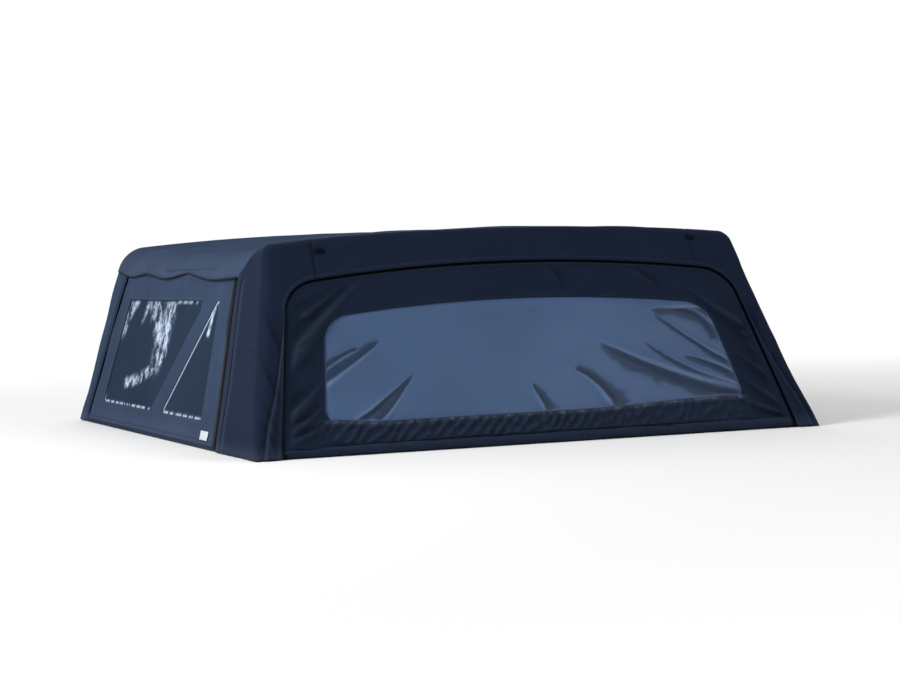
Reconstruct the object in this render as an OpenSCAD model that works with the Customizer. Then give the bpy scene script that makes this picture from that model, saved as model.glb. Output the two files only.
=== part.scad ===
// Soft-top canopy for the load bed of a pickup truck.
// +X is the right side, +Y points to the cab, +Z is up. The origin is on the
// plane of the bed's rails, at the middle of the canopy's base.

/* [Body] */
// Length of the canopy at its base
base_len = 2150; // [1700:10:2600]
// Width of the canopy at its base
base_w = 1724; // [1500:4:1900]
// Height of the roof's crown over the bed's rails
crown_h = 618; // [540:2:720]
// Inward lean of the sides, in degrees
side_lean = 13; // [8:0.5:16]
// Forward lean of the rear, in degrees
rear_lean = 26.4; // [18:0.2:30]
// Backward lean of the front, in degrees
front_lean = 15; // [8:0.5:20]
// Radius of the roof's crown across the canopy
crown_r = 6000; // [4000:100:9000]
// Radius of the roof's shoulders
shoulder_r = 80; // [70:5:110]
// Radius of the rounded rear corners
rear_corner_r = 70; // [60:2:80]
// Radius of the front corners
front_corner_r = 40; // [30:2:60]
// Thickness of the fabric as modelled
fabric_t = 3; // [2:0.5:4]
// Running clearance between sewn or lapped layers
lap_gap = 0.3; // [0.2:0.05:0.5]

/* [Roof and flap] */
// Drop from the crown to the flap's hem at the front, where the hem is highest
hem_drop = 97; // [85:1:115]
// Fall of the hem from the front to its rear end
hem_fall = 32; // [10:1:45]
// Depth of the scallop of the hem between two bows
hem_sag = 16; // [4:1:24]
// Drop from the crown to where the roof's seam crosses the rear face
roof_seam_drop = 18; // [12:1:26]

/* [Side panel] */
// Width of the front corner beside the panel, at the base
front_strip_base = 101; // [80:1:130]
// Width of the front corner beside the panel, at hem height
front_strip_top = 157; // [140:1:175]
// Width of the rear column beside the panel, at the base
rear_strip_base = 396; // [350:2:420]
// Width of the rear column beside the panel, at hem height
rear_strip_top = 249; // [220:1:270]
// Drop from the hem to the windows' upper edge
side_win_drop = 97; // [80:1:120]
// Height of the window's lower edge
side_win_bottom_z = 78; // [60:1:100]
// Width of the panel in front of the large window, at hem height
side_win_front_top = 118; // [100:2:140]
// Width of the panel in front of the large window, at the base
side_win_front_base = 173; // [150:1:200]
// Width of the panel behind the small window, at hem height
side_win_rear_top = 155; // [130:1:170]
// Width of the panel behind the small window, at the base
side_win_rear_base = 215; // [190:1:230]
// Radius of the side windows' corners
side_win_r = 14; // [8:1:24]
// Distance of the diagonal band's upper end from the panel's rear edge
side_band_back = 241; // [225:1:270]
// Distance of the diagonal band's lower end behind the rear arm's pivot
side_band_foot = 20; // [10:1:40]
// Width of the diagonal band between the windows, along the canopy
side_band_w = 135; // [110:1:170]
// Amount by which the band is narrower behind its middle line at its upper end
side_band_taper = 12; // [0:1:20]
// Width by which a window pane laps its panel
pane_lap = 12; // [8:1:16]
// Thickness of a window pane as modelled
pane_t = 1.5; // [1:0.25:2]
// Width by which a panel runs in behind its neighbours
panel_lap = 15; // [10:1:20]

/* [Front curtain] */
// Width of the front corner on the front face, at the base
front_corner_w = 80; // [60:1:100]
// Width from the front window to the canopy's side at the base
front_win_margin = 302; // [260:2:340]
// Height of the front window's lower edge along the front face
front_win_bottom_s = 140; // [110:2:170]
// Drop from the hem's height to the front window's upper edge
front_win_drop = 96; // [80:1:120]
// Radius of the front window's corners
front_win_r = 40; // [20:2:60]

/* [Rear curtain] */
// Width of the rear column beside the arched opening, at the base
arch_margin = 74; // [62:1:90]
// Drop from the crown to the top of the arched opening
arch_drop = 105; // [92:1:120]
// Inward lean of the arch's sides, in degrees
arch_lean = 10.7; // [8:0.1:13]
// Radius of the arch's corners
arch_r = 115; // [90:5:140]
// Radius of the arch's crown
arch_crown_r = 4600; // [3500:100:6000]
// Width of the zip's tape
zip_w = 26; // [20:1:32]
// Thickness of the zip's tape
zip_t = 2; // [1.5:0.25:2.5]
// Width of the curtain beside the rear window, at the window's foot
rear_win_margin = 146; // [120:1:180]
// Height of the rear window's lower edge along the rear face
rear_win_bottom_s = 109; // [90:1:130]
// Width of the curtain over the rear window
rear_win_over = 115; // [95:1:140]
// Inward lean of the rear window's sides, in degrees
rear_win_lean = 2.5; // [0:0.5:6]
// Radius of the rear window's upper corners
rear_win_r = 95; // [70:5:120]
// Radius of the rear window's crown
rear_win_crown_r = 4800; // [3500:100:6000]
// Distance of the header's end seams from the canopy's side at the base
header_margin = 270; // [250:1:290]
// Outer radius of the sleeve at the curtain's lower hem
hem_r = 12.5; // [11.5:0.5:14]
// Radius of the bar in the hem
bar_r = 9.5; // [8:0.5:10]
// Depth of the hem's middle behind the rear face
hem_d = 16; // [14:0.5:20]
// Clearance between an end of the hem's sleeve and the zip
hem_end_gap = 6; // [3:1:12]
// Length of a webbing loop
strap_l = 34; // [26:1:44]
// Width of the webbing
strap_w = 16; // [12:1:20]
// Thickness of a webbing loop over the header
strap_t = 4; // [2:0.5:6]

/* [Frame] */
// Diameter of the bows' tube
tube_d = 25; // [19:1:28]
// Depth of the bows' legs behind the side's face
leg_depth = 22; // [21.5:0.5:26]
// Height of the bows' pivots over the rails
pivot_s = 62; // [50:1:80]
// Place of the second bow's pivot along the canopy
pivot_second_y = 235; // [200:5:260]
// Place of the third bow's pivot along the canopy
pivot_third_y = 165; // [140:5:190]
// Place of the rear arm's pivot along the canopy
pivot_arm_y = 95; // [60:5:120]
// Distance of the second bow's crown from the front at the base
bow_second_back = 589; // [540:2:640]
// Place of the third bow's crown
bow_third_y = -14; // [-60:2:60]
// Radius of the second bow's crown
bow_second_crown_r = 5500; // [4000:100:6000]
// Radius of the third bow's crown
bow_third_crown_r = 3600; // [3000:100:6000]
// Radius of a bow's bends
bow_bend_r = 110; // [80:2:130]
// Radius of the rear bow's bends
rear_bow_bend_r = 60; // [50:2:80]
// Depth of the rear bow behind the rear face
rear_bow_d = 36; // [34:1:40]
// Depth of the front bow's legs behind the side's face
front_leg_d = 26; // [24:1:30]
// Depth of the front bow behind the front face
front_bow_d = 24; // [22:1:28]
// Length of the front bow's foot
front_foot_l = 52; // [44:2:64]
// Width of the front bow's foot
front_foot_w = 26; // [22:1:30]
// Length of the foot ahead of the tube's middle
front_foot_ahead = 7; // [2:1:10]
// Thickness of the front bow's foot
front_foot_t = 4; // [3:0.5:6]
// Drop of the rear bow's crown under the roof
rear_bow_drop = 4; // [1:0.5:8]
// Drop from the crown to the knuckle between the rear arm and the rear bow
knuckle_drop = 145; // [130:1:160]
// Rise of the rear arm's knee over the windows' upper edge
knee_rise = 6; // [0:1:14]
// Distance from the knee at which its bend starts
knee_reach = 60; // [50:2:70]
// Diameter of the pivot pins
pin_d = 12; // [10:1:14]
// Radius of the pins' heads and bosses
boss_r = 10; // [9:0.5:12]
// Thickness of the pins' heads
pin_head_t = 3; // [2:0.5:4]
// Thickness of the flattened ends of the tubes
tab_t = 6; // [5:0.5:8]
// Radius of the round end of a flattened tube
tab_r = 16; // [14:1:18]
// Thickness of the pivot plate
plate_t = 6; // [5:0.5:8]
// Length of the pivot plate past its end pivots
plate_margin = 34; // [28:1:44]
// Height of the pivot plate over its pivots
plate_rise = 18; // [15:1:24]
// Width of the pivot plate's foot on the rail
plate_foot_w = 18; // [14:1:22]
// Thickness of the pivot plate's foot
plate_foot_t = 4; // [3:0.5:6]
// Length of a tube's flattened end, from its eye
tab_len = 60; // [48:2:72]
// Distance from the eye at which the round tube starts
tube_start = 36; // [30:1:42]

/* [Rail] */
// Width of the rail's foot
rail_w = 62; // [50:1:80]
// Thickness of the rail's foot
rail_t = 4; // [3:0.5:6]
// Height of the rail's outer lip
rail_lip_h = 28; // [20:1:36]
// Thickness of the rail's lip and rib
rail_lip_t = 3; // [2.5:0.5:4]
// Radius of the clamp holes in the foot
clamp_hole_r = 4.5; // [4:0.5:6]
// Distance of the end clamp holes from the canopy's ends
clamp_inset = 295; // [250:5:340]
// Height of the rail's inner rib
rib_h = 18; // [12:1:24]
// Length of the rail's corner cap
cap_len = 135; // [120:1:160]
// Height of the corner cap
cap_h = 40; // [34:1:50]
// Wall of the corner cap
cap_wall = 6; // [4:0.5:8]
// Clearance from the arched opening's edge to the corner cap
cap_gap = 15; // [12:1:24]
// Thickness of the latch that stands in the cap beside the bar
latch_t = 14; // [10:1:18]
// Length of the latch
latch_l = 46; // [36:1:56]
// Height of the latch
latch_h = 32; // [26:1:38]

/* [Hidden] */
$fn = 48;
far = 3000;
// Small length by which a cut runs past a face, or a boss into its plate
over = 1;
half_w = base_w / 2;
half_l = base_len / 2;
inner = fabric_t + lap_gap;
hem_front_z = crown_h - hem_drop;
roof_seam_z = crown_h - roof_seam_drop;

// Points along an arc about cc, from one angle to another
function arc(cc, r, from, to, steps) =
    [for (k = [0:steps]) let (t = from + (to - from) * k / steps) cc + r * [cos(t), sin(t)]];

// An arch is two leaning sides, two round corners and a shallow crown, all tangent.
// arch_c is the centre of its right corner, and arch_turn the angle at which the crown starts.
function arch_n(lean) = [cos(lean), sin(lean)];
function arch_e(lean) = [-sin(lean), cos(lean)];
function arch_c(w, lean, top, big_r, r) =
    let (q = (w * cos(lean) - r) * arch_n(lean), d = q - [0, top - big_r], de = d * arch_e(lean))
    q + (-de + sqrt(de * de - d * d + pow(big_r - r, 2))) * arch_e(lean);
function arch_turn(cc, top, big_r) = atan2(cc[1] - top + big_r, cc[0]);
function mirrored(pts) = [for (k = [len(pts) - 1:-1:0]) [-pts[k][0], pts[k][1]]];
// The right half of an arch's outline, from its base to its crown, moved inward by i
function half_arch(w, lean, top, big_r, r, i = 0) =
    let (cc = arch_c(w, lean, top, big_r, r), turn = arch_turn(cc, top, big_r))
    concat([[w - i / cos(lean), 0]], arc(cc, r - i, lean, turn, 10),
        [for (k = [1:8]) let (t = turn + (90 - turn) * k / 8)
            [0, top - big_r] + (big_r - i) * [cos(t), sin(t)]]);
module arch2d(w, lean, top, big_r, r, i = 0) {
    h = half_arch(w, lean, top, big_r, r, i);
    polygon(concat(h, mirrored([for (p = h) if (p[0] > 0.001) p])));
}

// A convex outline with round corners: each point is [x, y, radius], anticlockwise
function unit(v) = v / norm(v);
module round_poly(pts, steps = 6) {
    n = len(pts);
    p = [for (q = pts) [q[0], q[1]]];
    polygon([for (i = [0:n - 1])
        let (u = unit(p[(i + n - 1) % n] - p[i]), v = unit(p[(i + 1) % n] - p[i]),
            half = acos(u * v) / 2, cc = p[i] + unit(u + v) * pts[i][2] / sin(half),
            from = atan2(u[0], -u[1]), span = 180 - 2 * half)
        for (q = arc(cc, pts[i][2], from, from + span, steps)) q]);
}

// Each of these stands a flat outline in a leaning face of the canopy, from depth d1 to d2
// behind that face. On a side the outline is [along the canopy, up the slope].
module on_side(d1, d2)
    multmatrix([[0, -sin(side_lean), cos(side_lean), half_w], [1, 0, 0, 0],
        [0, cos(side_lean), sin(side_lean), 0], [0, 0, 0, 1]])
        translate([0, 0, -d2]) linear_extrude(d2 - d1) children();
module on_rear(d1, d2)
    multmatrix([[1, 0, 0, 0], [0, sin(rear_lean), -cos(rear_lean), -half_l],
        [0, cos(rear_lean), sin(rear_lean), 0], [0, 0, 0, 1]])
        translate([0, 0, -d2]) linear_extrude(d2 - d1) children();
module on_front(d1, d2)
    multmatrix([[-1, 0, 0, 0], [0, -sin(front_lean), cos(front_lean), half_l],
        [0, cos(front_lean), sin(front_lean), 0], [0, 0, 0, 1]])
        translate([0, 0, -d2]) linear_extrude(d2 - d1) children();
// A prism through the whole canopy from its side view, [along the canopy, height]
module through_side() rotate([90, 0, 90]) translate([0, 0, -far / 2]) linear_extrude(far) children();
module left() mirror([1, 0, 0]) children();

// A prism along the edge between the right side and an end face, its edge rounded
// with radius r. n2 and c2 are the end face's normal and distance.
module edge_prism(n2, c2, r, i) {
    e1 = [cos(side_lean), 0, sin(side_lean)];
    w3 = cross(e1, n2);
    e3 = w3 * sign(w3[2]) / norm(w3);
    e2 = cross(e3, e1);
    m = [n2 * e1, n2 * e2];
    d1 = half_w * cos(side_lean);
    cc = [d1 - r, (c2 - r - m[0] * (d1 - r)) / m[1]];
    multmatrix([for (k = [0:2]) [e1[k], e2[k], e3[k], 0]])
        translate([0, 0, -far]) linear_extrude(2 * far)
            polygon(concat([cc - far * [1, sign(m[1])], [cc[0] + r - i, cc[1] - far * sign(m[1])]],
                arc(cc, r - i, 0, atan2(m[1], m[0]), 8),
                [cc + (r - i) * m + far * [-m[1], m[0]] * sign(m[1])]));
}

// Where the rear face and the front face, moved inward by i, lie at height z
function rear_y(z, i) = -half_l + z * tan(rear_lean) + i / cos(rear_lean);
function front_y(z, i) = half_l - z * tan(front_lean) - i / cos(front_lean);

// The canopy's closed outer form, moved inward by i
module form(i) {
    rear_d = half_l * cos(rear_lean);
    front_d = half_l * cos(front_lean);
    intersection() {
        rotate([90, 0, 0]) translate([0, 0, -far / 2]) linear_extrude(far)
            arch2d(half_w, side_lean, crown_h, crown_r, shoulder_r, i);
        through_side() polygon([[rear_y(0, i), 0], [front_y(0, i), 0],
            [front_y(2 * crown_h, i), 2 * crown_h], [rear_y(2 * crown_h, i), 2 * crown_h]]);
        for (s = [0, 1]) mirror([s, 0, 0]) intersection() {
            edge_prism([0, -cos(rear_lean), sin(rear_lean)], rear_d, rear_corner_r, i);
            edge_prism([0, cos(front_lean), sin(front_lean)], front_d, front_corner_r, i);
        }
    }
}
module shell(i1, i2) difference() {
    form(i1);
    form(i2);
}

// The side panel's corners, from the ends of the canopy
hem_front_y = front_y(hem_front_z, 0);
panel_front_base_y = half_l - front_strip_base;
panel_front_top_y = hem_front_y - front_strip_top;
panel_rear_base_y = rear_strip_base - half_l;
panel_rear_top_y = rear_y(hem_front_z - hem_fall, 0) + rear_strip_top;
bow_second_y = half_l - bow_second_back;
// Height of the flap's hem along the canopy: it falls to the rear, and hangs between the bows
hem_posts = [hem_front_y, bow_second_y, bow_third_y, panel_rear_top_y];
function hem_z(y) = hem_front_z - hem_fall * (hem_front_y - y) / (hem_front_y - panel_rear_top_y);
hem_steps = 8;
hem_line = [for (k = [0:2]) for (j = [k == 0 ? 0 : 1:hem_steps])
    let (t = j / hem_steps, y = hem_posts[k] + (hem_posts[k + 1] - hem_posts[k]) * t)
    [y, hem_z(y) - hem_sag * 4 * t * (1 - t)]];
// The seam between the roof and the rear, from the hem's end to the rear face and past it
seam_a = [panel_rear_top_y, hem_z(panel_rear_top_y)];
seam_b = [rear_y(roof_seam_z, 0), roof_seam_z];
seam_end = seam_b + (seam_b - seam_a);
// Height from the rails at which the fabric starts
fabric_z = 2;

module roof() {
    color([0.17, 0.19, 0.25]) intersection() {
        shell(0, fabric_t);
        through_side() polygon(concat([[half_l, hem_front_z]], hem_line,
            [seam_end, [-half_l, 2 * crown_h], [half_l, 2 * crown_h]]));
    }
}

// The arched opening's and the header's sizes
arch_half_w = half_w - arch_margin;
arch_top_s = (crown_h - arch_drop) / cos(rear_lean);
header_half_w = half_w - header_margin;
rear_win_half_w = arch_half_w - rear_win_margin;
rear_win_top_s = arch_top_s - rear_win_over;

// The zone of the rear columns and the header, in side view
module rear_zone() {
    through_side() polygon([[panel_rear_base_y, fabric_z], seam_a, seam_b, seam_end,
        [-2 * half_l, roof_seam_z], [-2 * half_l, fabric_z]]);
}
module rear_arch(i = 0) {
    arch2d(arch_half_w, arch_lean, arch_top_s, arch_crown_r, arch_r, i);
}
module rear_corner() {
    color([0.12, 0.14, 0.20]) difference() {
        intersection() {
            shell(0, fabric_t);
            rear_zone();
            translate([header_half_w, -far / 2, 0]) cube(far);
        }
        on_rear(-tube_d, tube_d) rear_arch();
    }
}
module rear_header() {
    color([0.12, 0.14, 0.20]) difference() {
        intersection() {
            shell(0, fabric_t);
            rear_zone();
            translate([-header_half_w, -far / 2, 0]) cube([2 * header_half_w, far, far]);
        }
        on_rear(-tube_d, tube_d) rear_arch();
    }
}
module front_corner() {
    color([0.15, 0.17, 0.23]) difference() {
        intersection() {
            shell(0, fabric_t);
            through_side() polygon(concat([[half_l, fabric_z], [half_l, hem_front_z]],
                [for (p = hem_line) if (p[0] > panel_front_top_y) p],
                [[panel_front_top_y, hem_z(panel_front_top_y) - hem_sag],
                [panel_front_base_y, fabric_z]]));
            translate([0, -far / 2, 0]) cube(far);
        }
        on_front(-tube_d, tube_d) front_outline(0, crown_h);
    }
}

// Outline of the side panel and its windows, along the canopy and up the slope
function up_side(z) = z / cos(side_lean);
function along(y0, y1, z) = y0 + (y1 - y0) * z / hem_front_z;
panel_top_z = hem_front_z - over;
side_win_top_z = hem_front_z - side_win_drop;
module side_outline(grow) {
    polygon([[panel_rear_base_y - grow, up_side(fabric_z)], [panel_front_base_y + grow, up_side(fabric_z)],
        [panel_front_top_y + grow, up_side(panel_top_z)], [panel_rear_top_y - grow, up_side(panel_top_z)]]);
}
// The band's middle line follows the rear arm, which it hides
band_top_y = panel_rear_top_y + side_band_back;
band_bottom_y = pivot_arm_y - side_band_foot;
module large_outline(grow) {
    low = up_side(side_win_bottom_z) - grow;
    high = up_side(side_win_top_z) + grow;
    round_poly([[panel_front_base_y - side_win_front_base + grow, low, side_win_r],
        [panel_front_top_y - side_win_front_top + grow, high, side_win_r],
        [band_top_y + side_band_w / 2 - grow, high, side_win_r],
        [band_bottom_y + side_band_w / 2 - grow, low, side_win_r]]);
}
// The small window's lower front corner is sharp, so it grows further along the canopy
sharp_grow = 1.6;
module small_outline(grow) {
    low = up_side(side_win_bottom_z) - grow;
    high = up_side(side_win_top_z) + grow;
    round_poly([[band_bottom_y - side_band_w / 2 + grow * sharp_grow, low, side_win_r],
        [band_top_y - side_band_w / 2 + side_band_taper + grow, high, side_win_r],
        [panel_rear_top_y + side_win_rear_top - grow, high, side_win_r],
        [panel_rear_base_y + side_win_rear_base - grow, low, side_win_r]]);
}
module side_panel() {
    color([0.15, 0.17, 0.22]) on_side(inner, inner + fabric_t) difference() {
        side_outline(panel_lap);
        large_outline(0);
        small_outline(0);
    }
}
pane_d = inner + fabric_t + lap_gap;
module window_large() {
    color([0.35, 0.42, 0.52, 0.6]) on_side(pane_d, pane_d + pane_t) large_outline(pane_lap);
}
module window_small() {
    color([0.35, 0.42, 0.52, 0.6]) on_side(pane_d, pane_d + pane_t) small_outline(pane_lap);
}

// The front curtain, between the front corners and under the roof's front band
front_win_half_w = half_w - front_win_margin;
front_win_top_s = (hem_front_z - front_win_drop) / cos(front_lean);
module front_outline(grow, top_z = hem_front_z) {
    top_s = top_z / cos(front_lean);
    w = half_w - front_corner_w + grow;
    top_w = w - tan(side_lean) * cos(front_lean) * top_s;
    polygon([[-w, fabric_z], [w, fabric_z], [top_w, top_s + grow], [-top_w, top_s + grow]]);
}
module front_window_outline(grow) {
    w = front_win_half_w + grow;
    round_poly([[-w, front_win_bottom_s - grow, front_win_r], [w, front_win_bottom_s - grow, front_win_r],
        [w, front_win_top_s + grow, front_win_r], [-w, front_win_top_s + grow, front_win_r]]);
}
module front_curtain() {
    color([0.12, 0.14, 0.19]) on_front(inner, inner + fabric_t) difference() {
        front_outline(panel_lap);
        front_window_outline(0);
    }
}
module front_window() {
    color([0.35, 0.42, 0.52, 0.6]) on_front(pane_d, pane_d + pane_t) front_window_outline(pane_lap);
}

// The zip's tape runs up one side of the arch, over its crown and down the other
curtain_d = inner + zip_t + lap_gap;
zip_bottom_s = 5;
hem_s = (fabric_z + hem_r + hem_d * sin(rear_lean)) / cos(rear_lean);
hem_half = arch_half_w - zip_w / 2 - hem_end_gap;
module rear_zip() {
    color([0.05, 0.05, 0.06]) on_rear(inner, inner + zip_t) difference() {
        intersection() {
            rear_arch(-zip_w / 2);
            translate([-half_w, zip_bottom_s]) square([base_w, far]);
        }
        rear_arch(zip_w / 2);
    }
}
// The window's arch, cut off at its lower edge
module rear_win_outline(grow) {
    intersection() {
        arch2d(rear_win_half_w, rear_win_lean, rear_win_top_s, rear_win_crown_r, rear_win_r, -grow);
        translate([-half_w, rear_win_bottom_s - grow]) square([base_w, far]);
    }
}
module rear_curtain() {
    bottom_s = hem_s + sqrt(pow(hem_r + lap_gap, 2) - pow(hem_d - curtain_d - fabric_t, 2)) + over;
    color([0.12, 0.14, 0.20]) on_rear(curtain_d, curtain_d + fabric_t) difference() {
        intersection() {
            rear_arch(over);
            translate([-half_w, bottom_s]) square([base_w, far]);
        }
        rear_win_outline(0);
    }
}
module rear_window() {
    d = curtain_d + fabric_t + lap_gap;
    color([0.35, 0.42, 0.52, 0.6]) on_rear(d, d + pane_t) rear_win_outline(pane_lap);
}
// The sleeve and its bar lie behind the foot of the curtain
module along_hem(r, half_len) {
    z = fabric_z + hem_r;
    translate([0, rear_y(z, hem_d), z]) rotate([0, 90, 0]) cylinder(r = r, h = 2 * half_len, center = true);
}
module rear_hem() {
    color([0.10, 0.12, 0.17]) difference() {
        along_hem(hem_r, hem_half);
        along_hem(bar_r + lap_gap, hem_half + over);
    }
}
module rear_bar() {
    color("black") along_hem(bar_r, cap_in_x - lap_gap);
}
// Loops that hold the curtain when it is rolled up
strap_x = header_half_w - strap_l / 4;
strap_s = (roof_seam_z - 2.5 * strap_w) / cos(rear_lean);
module strap() {
    color("black") on_rear(-lap_gap - strap_t, -lap_gap) translate([strap_x, strap_s]) difference() {
        square([strap_l, strap_w], center = true);
        square([strap_l - strap_w, strap_w / 4], center = true);
    }
}

// The rail is one extrusion: an outer lip that follows the lean of the side, a foot that
// the clamps hold, and an inner rib
rail_d = inner + fabric_t + lap_gap;
rail_front_y = front_y(rail_lip_h, rail_d + fabric_t);
cap_front_y = cap_len - half_l;
cap_in_x = arch_half_w + cap_gap;
module rail() {
    x0 = half_w - rail_d / cos(side_lean);
    t = rail_lip_t / cos(side_lean);
    lean = tan(side_lean);
    color("dimgray") difference() {
        translate([0, rail_front_y, 0]) rotate([90, 0, 0])
            linear_extrude(rail_front_y - cap_front_y - lap_gap)
                polygon([[half_w - rail_w, 0], [x0, 0], [x0 - rail_lip_h * lean, rail_lip_h],
                    [x0 - rail_lip_h * lean - t, rail_lip_h], [x0 - rail_t * lean - t, rail_t],
                    [half_w - rail_w + rail_lip_t, rail_t], [half_w - rail_w + rail_lip_t, rib_h],
                    [half_w - rail_w, rib_h]]);
        for (k = [-1.5:1.5]) translate([clamp_x, k * clamp_spacing, -over])
            cylinder(r = clamp_hole_r, h = rail_t + 2 * over);
    }
}
clamp_x = half_w - rail_w / 2;
clamp_spacing = 2 * (half_l - clamp_inset) / 3;

// The moulded cap at the rear end of a rail gives the column its round foot and holds the bar
module corner_cap() {
    color([0.08, 0.08, 0.09]) intersection() {
        form(inner);
        translate([cap_in_x, -2 * half_l, 0]) cube([half_w, 2 * half_l + cap_front_y, cap_h]);
        union() {
            difference() {
                translate([0, -2 * half_l, 0]) cube([half_w, 2 * half_l, cap_h]);
                form(inner + cap_wall);
            }
            translate([0, -2 * half_l, 0]) cube([half_w, 2 * half_l, rail_t]);
            translate([cap_in_x, -half_l, 0]) cube([latch_t, latch_l, latch_h]);
        }
    }
}

// Each point of a side's leaning frame, [along, up the slope] at a depth, in the canopy's frame
function side_point(y, s, d) =
    [half_w - s * sin(side_lean) - d * cos(side_lean), y, s * cos(side_lean) - d * sin(side_lean)];
function side_s(z, d) = (z + d * sin(side_lean)) / cos(side_lean);
module side_frame(d)
    multmatrix([[0, -sin(side_lean), cos(side_lean), half_w], [1, 0, 0, 0],
        [0, cos(side_lean), sin(side_lean), 0], [0, 0, 0, 1]]) translate([0, 0, -d]) children();

// A round bar swept along points in its own flat, with one ring of sides at each
module bar(path, d = tube_d, sides = 12) {
    n = len(path);
    along = [for (i = [0:n - 1]) unit(path[min(i + 1, n - 1)] - path[max(i - 1, 0)])];
    ring = [for (i = [0:n - 1]) for (k = [0:sides - 1])
        let (t = 360 * (k + 0.5) / sides, side = [along[i][1], -along[i][0]] * cos(t) * d / 2)
        [path[i][0] + side[0], path[i][1] + side[1], sin(t) * d / 2]];
    walls = [for (i = [0:n - 2]) for (k = [0:sides - 1])
        let (k1 = (k + 1) % sides, p = i * sides, q = p + sides) [p + k, p + k1, q + k1, q + k]];
    polyhedron(ring, concat([[for (k = [sides - 1:-1:0]) k]], walls,
        [[for (k = [0:sides - 1]) (n - 1) * sides + k]]), convexity = 4);
}
// A hoop in the flat: two leaning legs that start l0 above the base line, two bends and a crown
module hoop(w, lean, top, big_r, r, l0) {
    h = half_arch(w, lean, top, big_r, r);
    right = concat([h[0] + l0 * arch_e(lean)], [for (k = [1:len(h) - 1]) if (h[k][0] > 0.001) h[k]]);
    bar(concat(right, [[0, top]], mirrored(right)));
}
// A hoop stood on point p, tipped forward by tilt
module stood_hoop(p, tilt, r, l0, big_r = crown_r) {
    multmatrix([[1, 0, 0, 0], [0, sin(tilt), -cos(tilt), p[1]],
        [0, cos(tilt), sin(tilt), p[2]], [0, 0, 0, 1]])
        hoop(p[0], atan(tan(side_lean) * cos(tilt)), (tube_top_z - p[2]) / cos(tilt),
            (big_r - tube_d / 2 - inner) * cos(tilt), r, l0);
}
tube_top_z = crown_h - inner - tube_d / 2;
// A tube's flattened end: a round eye at p and a strip that runs along dir into the tube
module tab(p, dir, bored = true) {
    translate(p) difference() {
        union() {
            circle(tab_r);
            rotate(atan2(dir[1], dir[0])) translate([0, -tube_d / 2]) square([tab_len, tube_d]);
        }
        if (bored) circle(pin_d / 2 + lap_gap);
    }
}
module bow(pivot_y, crown_y, big_r) {
    p = side_point(pivot_y, pivot_s, leg_depth);
    tilt = atan2(crown_y - pivot_y, tube_top_z - p[2]);
    color([0.07, 0.07, 0.08]) {
        stood_hoop(p, tilt, bow_bend_r, tube_start, big_r);
        for (m = [0, 1]) mirror([m, 0, 0]) on_side(leg_depth - tab_t / 2, leg_depth + tab_t / 2)
            tab([pivot_y, pivot_s], [sin(tilt), cos(tilt) / cos(side_lean)]);
    }
}
module bow_front() {
    foot_z = rail_t + lap_gap;
    x = half_w - foot_z * tan(side_lean) - front_leg_d / cos(side_lean);
    y = front_y(foot_z, front_bow_d);
    color([0.07, 0.07, 0.08]) {
        stood_hoop([x, y, foot_z], -front_lean, bow_bend_r, front_foot_t + 2 * over);
        for (m = [0, 1]) mirror([m, 0, 0])
            translate([x - front_foot_w / 2, y + front_foot_ahead - front_foot_l, foot_z])
                cube([front_foot_w, front_foot_l, front_foot_t]);
    }
}

// The plate on the rail that carries the pivots of the bows and of the rear arm
plate_d = leg_depth + tube_d / 2 + lap_gap;
arm_d = plate_d + plate_t + lap_gap + tube_d / 2;
plate_corner_r = 14;
plate_taper = 10;
// A round boss or pin at height pivot_s of a side, from depth d1 to d2
module side_disc(y, d1, d2, r) on_side(d1, d2) translate([y, pivot_s]) circle(r);
module pivot_plate() {
    low_z = rail_t + lap_gap;
    y0 = pivot_arm_y - plate_margin;
    y1 = pivot_second_y + plate_margin;
    top_s = pivot_s + plate_rise;
    // Depths of a flattened end's two faces, each with its clearance, and of the pin's head over it
    leg_out = leg_depth - tab_t / 2 - lap_gap;
    leg_in = leg_depth + tab_t / 2 + lap_gap;
    arm_out = arm_d - tab_t / 2 - lap_gap;
    arm_in = arm_d + tab_t / 2 + lap_gap;
    color([0.10, 0.10, 0.11]) intersection() {
        union() {
            on_side(plate_d, plate_d + plate_t)
                round_poly([[y0, over, over], [y1, over, over],
                    [y1 - plate_taper, top_s, plate_corner_r], [y0 + plate_taper, top_s, plate_corner_r]]);
            translate([half_w - rail_w + rail_lip_t + over, y0, low_z])
                cube([plate_foot_w, y1 - y0, plate_foot_t]);
            for (y = [pivot_second_y, pivot_third_y]) {
                side_disc(y, leg_in, plate_d + over, boss_r);
                side_disc(y, leg_out - pin_head_t, plate_d + over, pin_d / 2);
                side_disc(y, leg_out - pin_head_t, leg_out, boss_r);
            }
            side_disc(pivot_arm_y, plate_d + plate_t - over, arm_out, boss_r);
            side_disc(pivot_arm_y, plate_d + plate_t - over, arm_in + pin_head_t, pin_d / 2);
            side_disc(pivot_arm_y, arm_in, arm_in + pin_head_t, boss_r);
        }
        translate([0, -far / 2, low_z]) cube(far);
    }
}

// The rear arm rises behind the band between the windows, bends at its knee and runs back
// to the knuckle that carries the rear bow
arm_pivot = [pivot_arm_y, pivot_s];
arm_knee = [band_top_y, side_s(side_win_top_z + knee_rise, arm_d)];
knuckle_z = crown_h - knuckle_drop;
rear_leg_d = arm_d + tab_t + lap_gap;
knuckle = [rear_y(knuckle_z, rear_bow_d), side_s(knuckle_z, rear_leg_d)];
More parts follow.
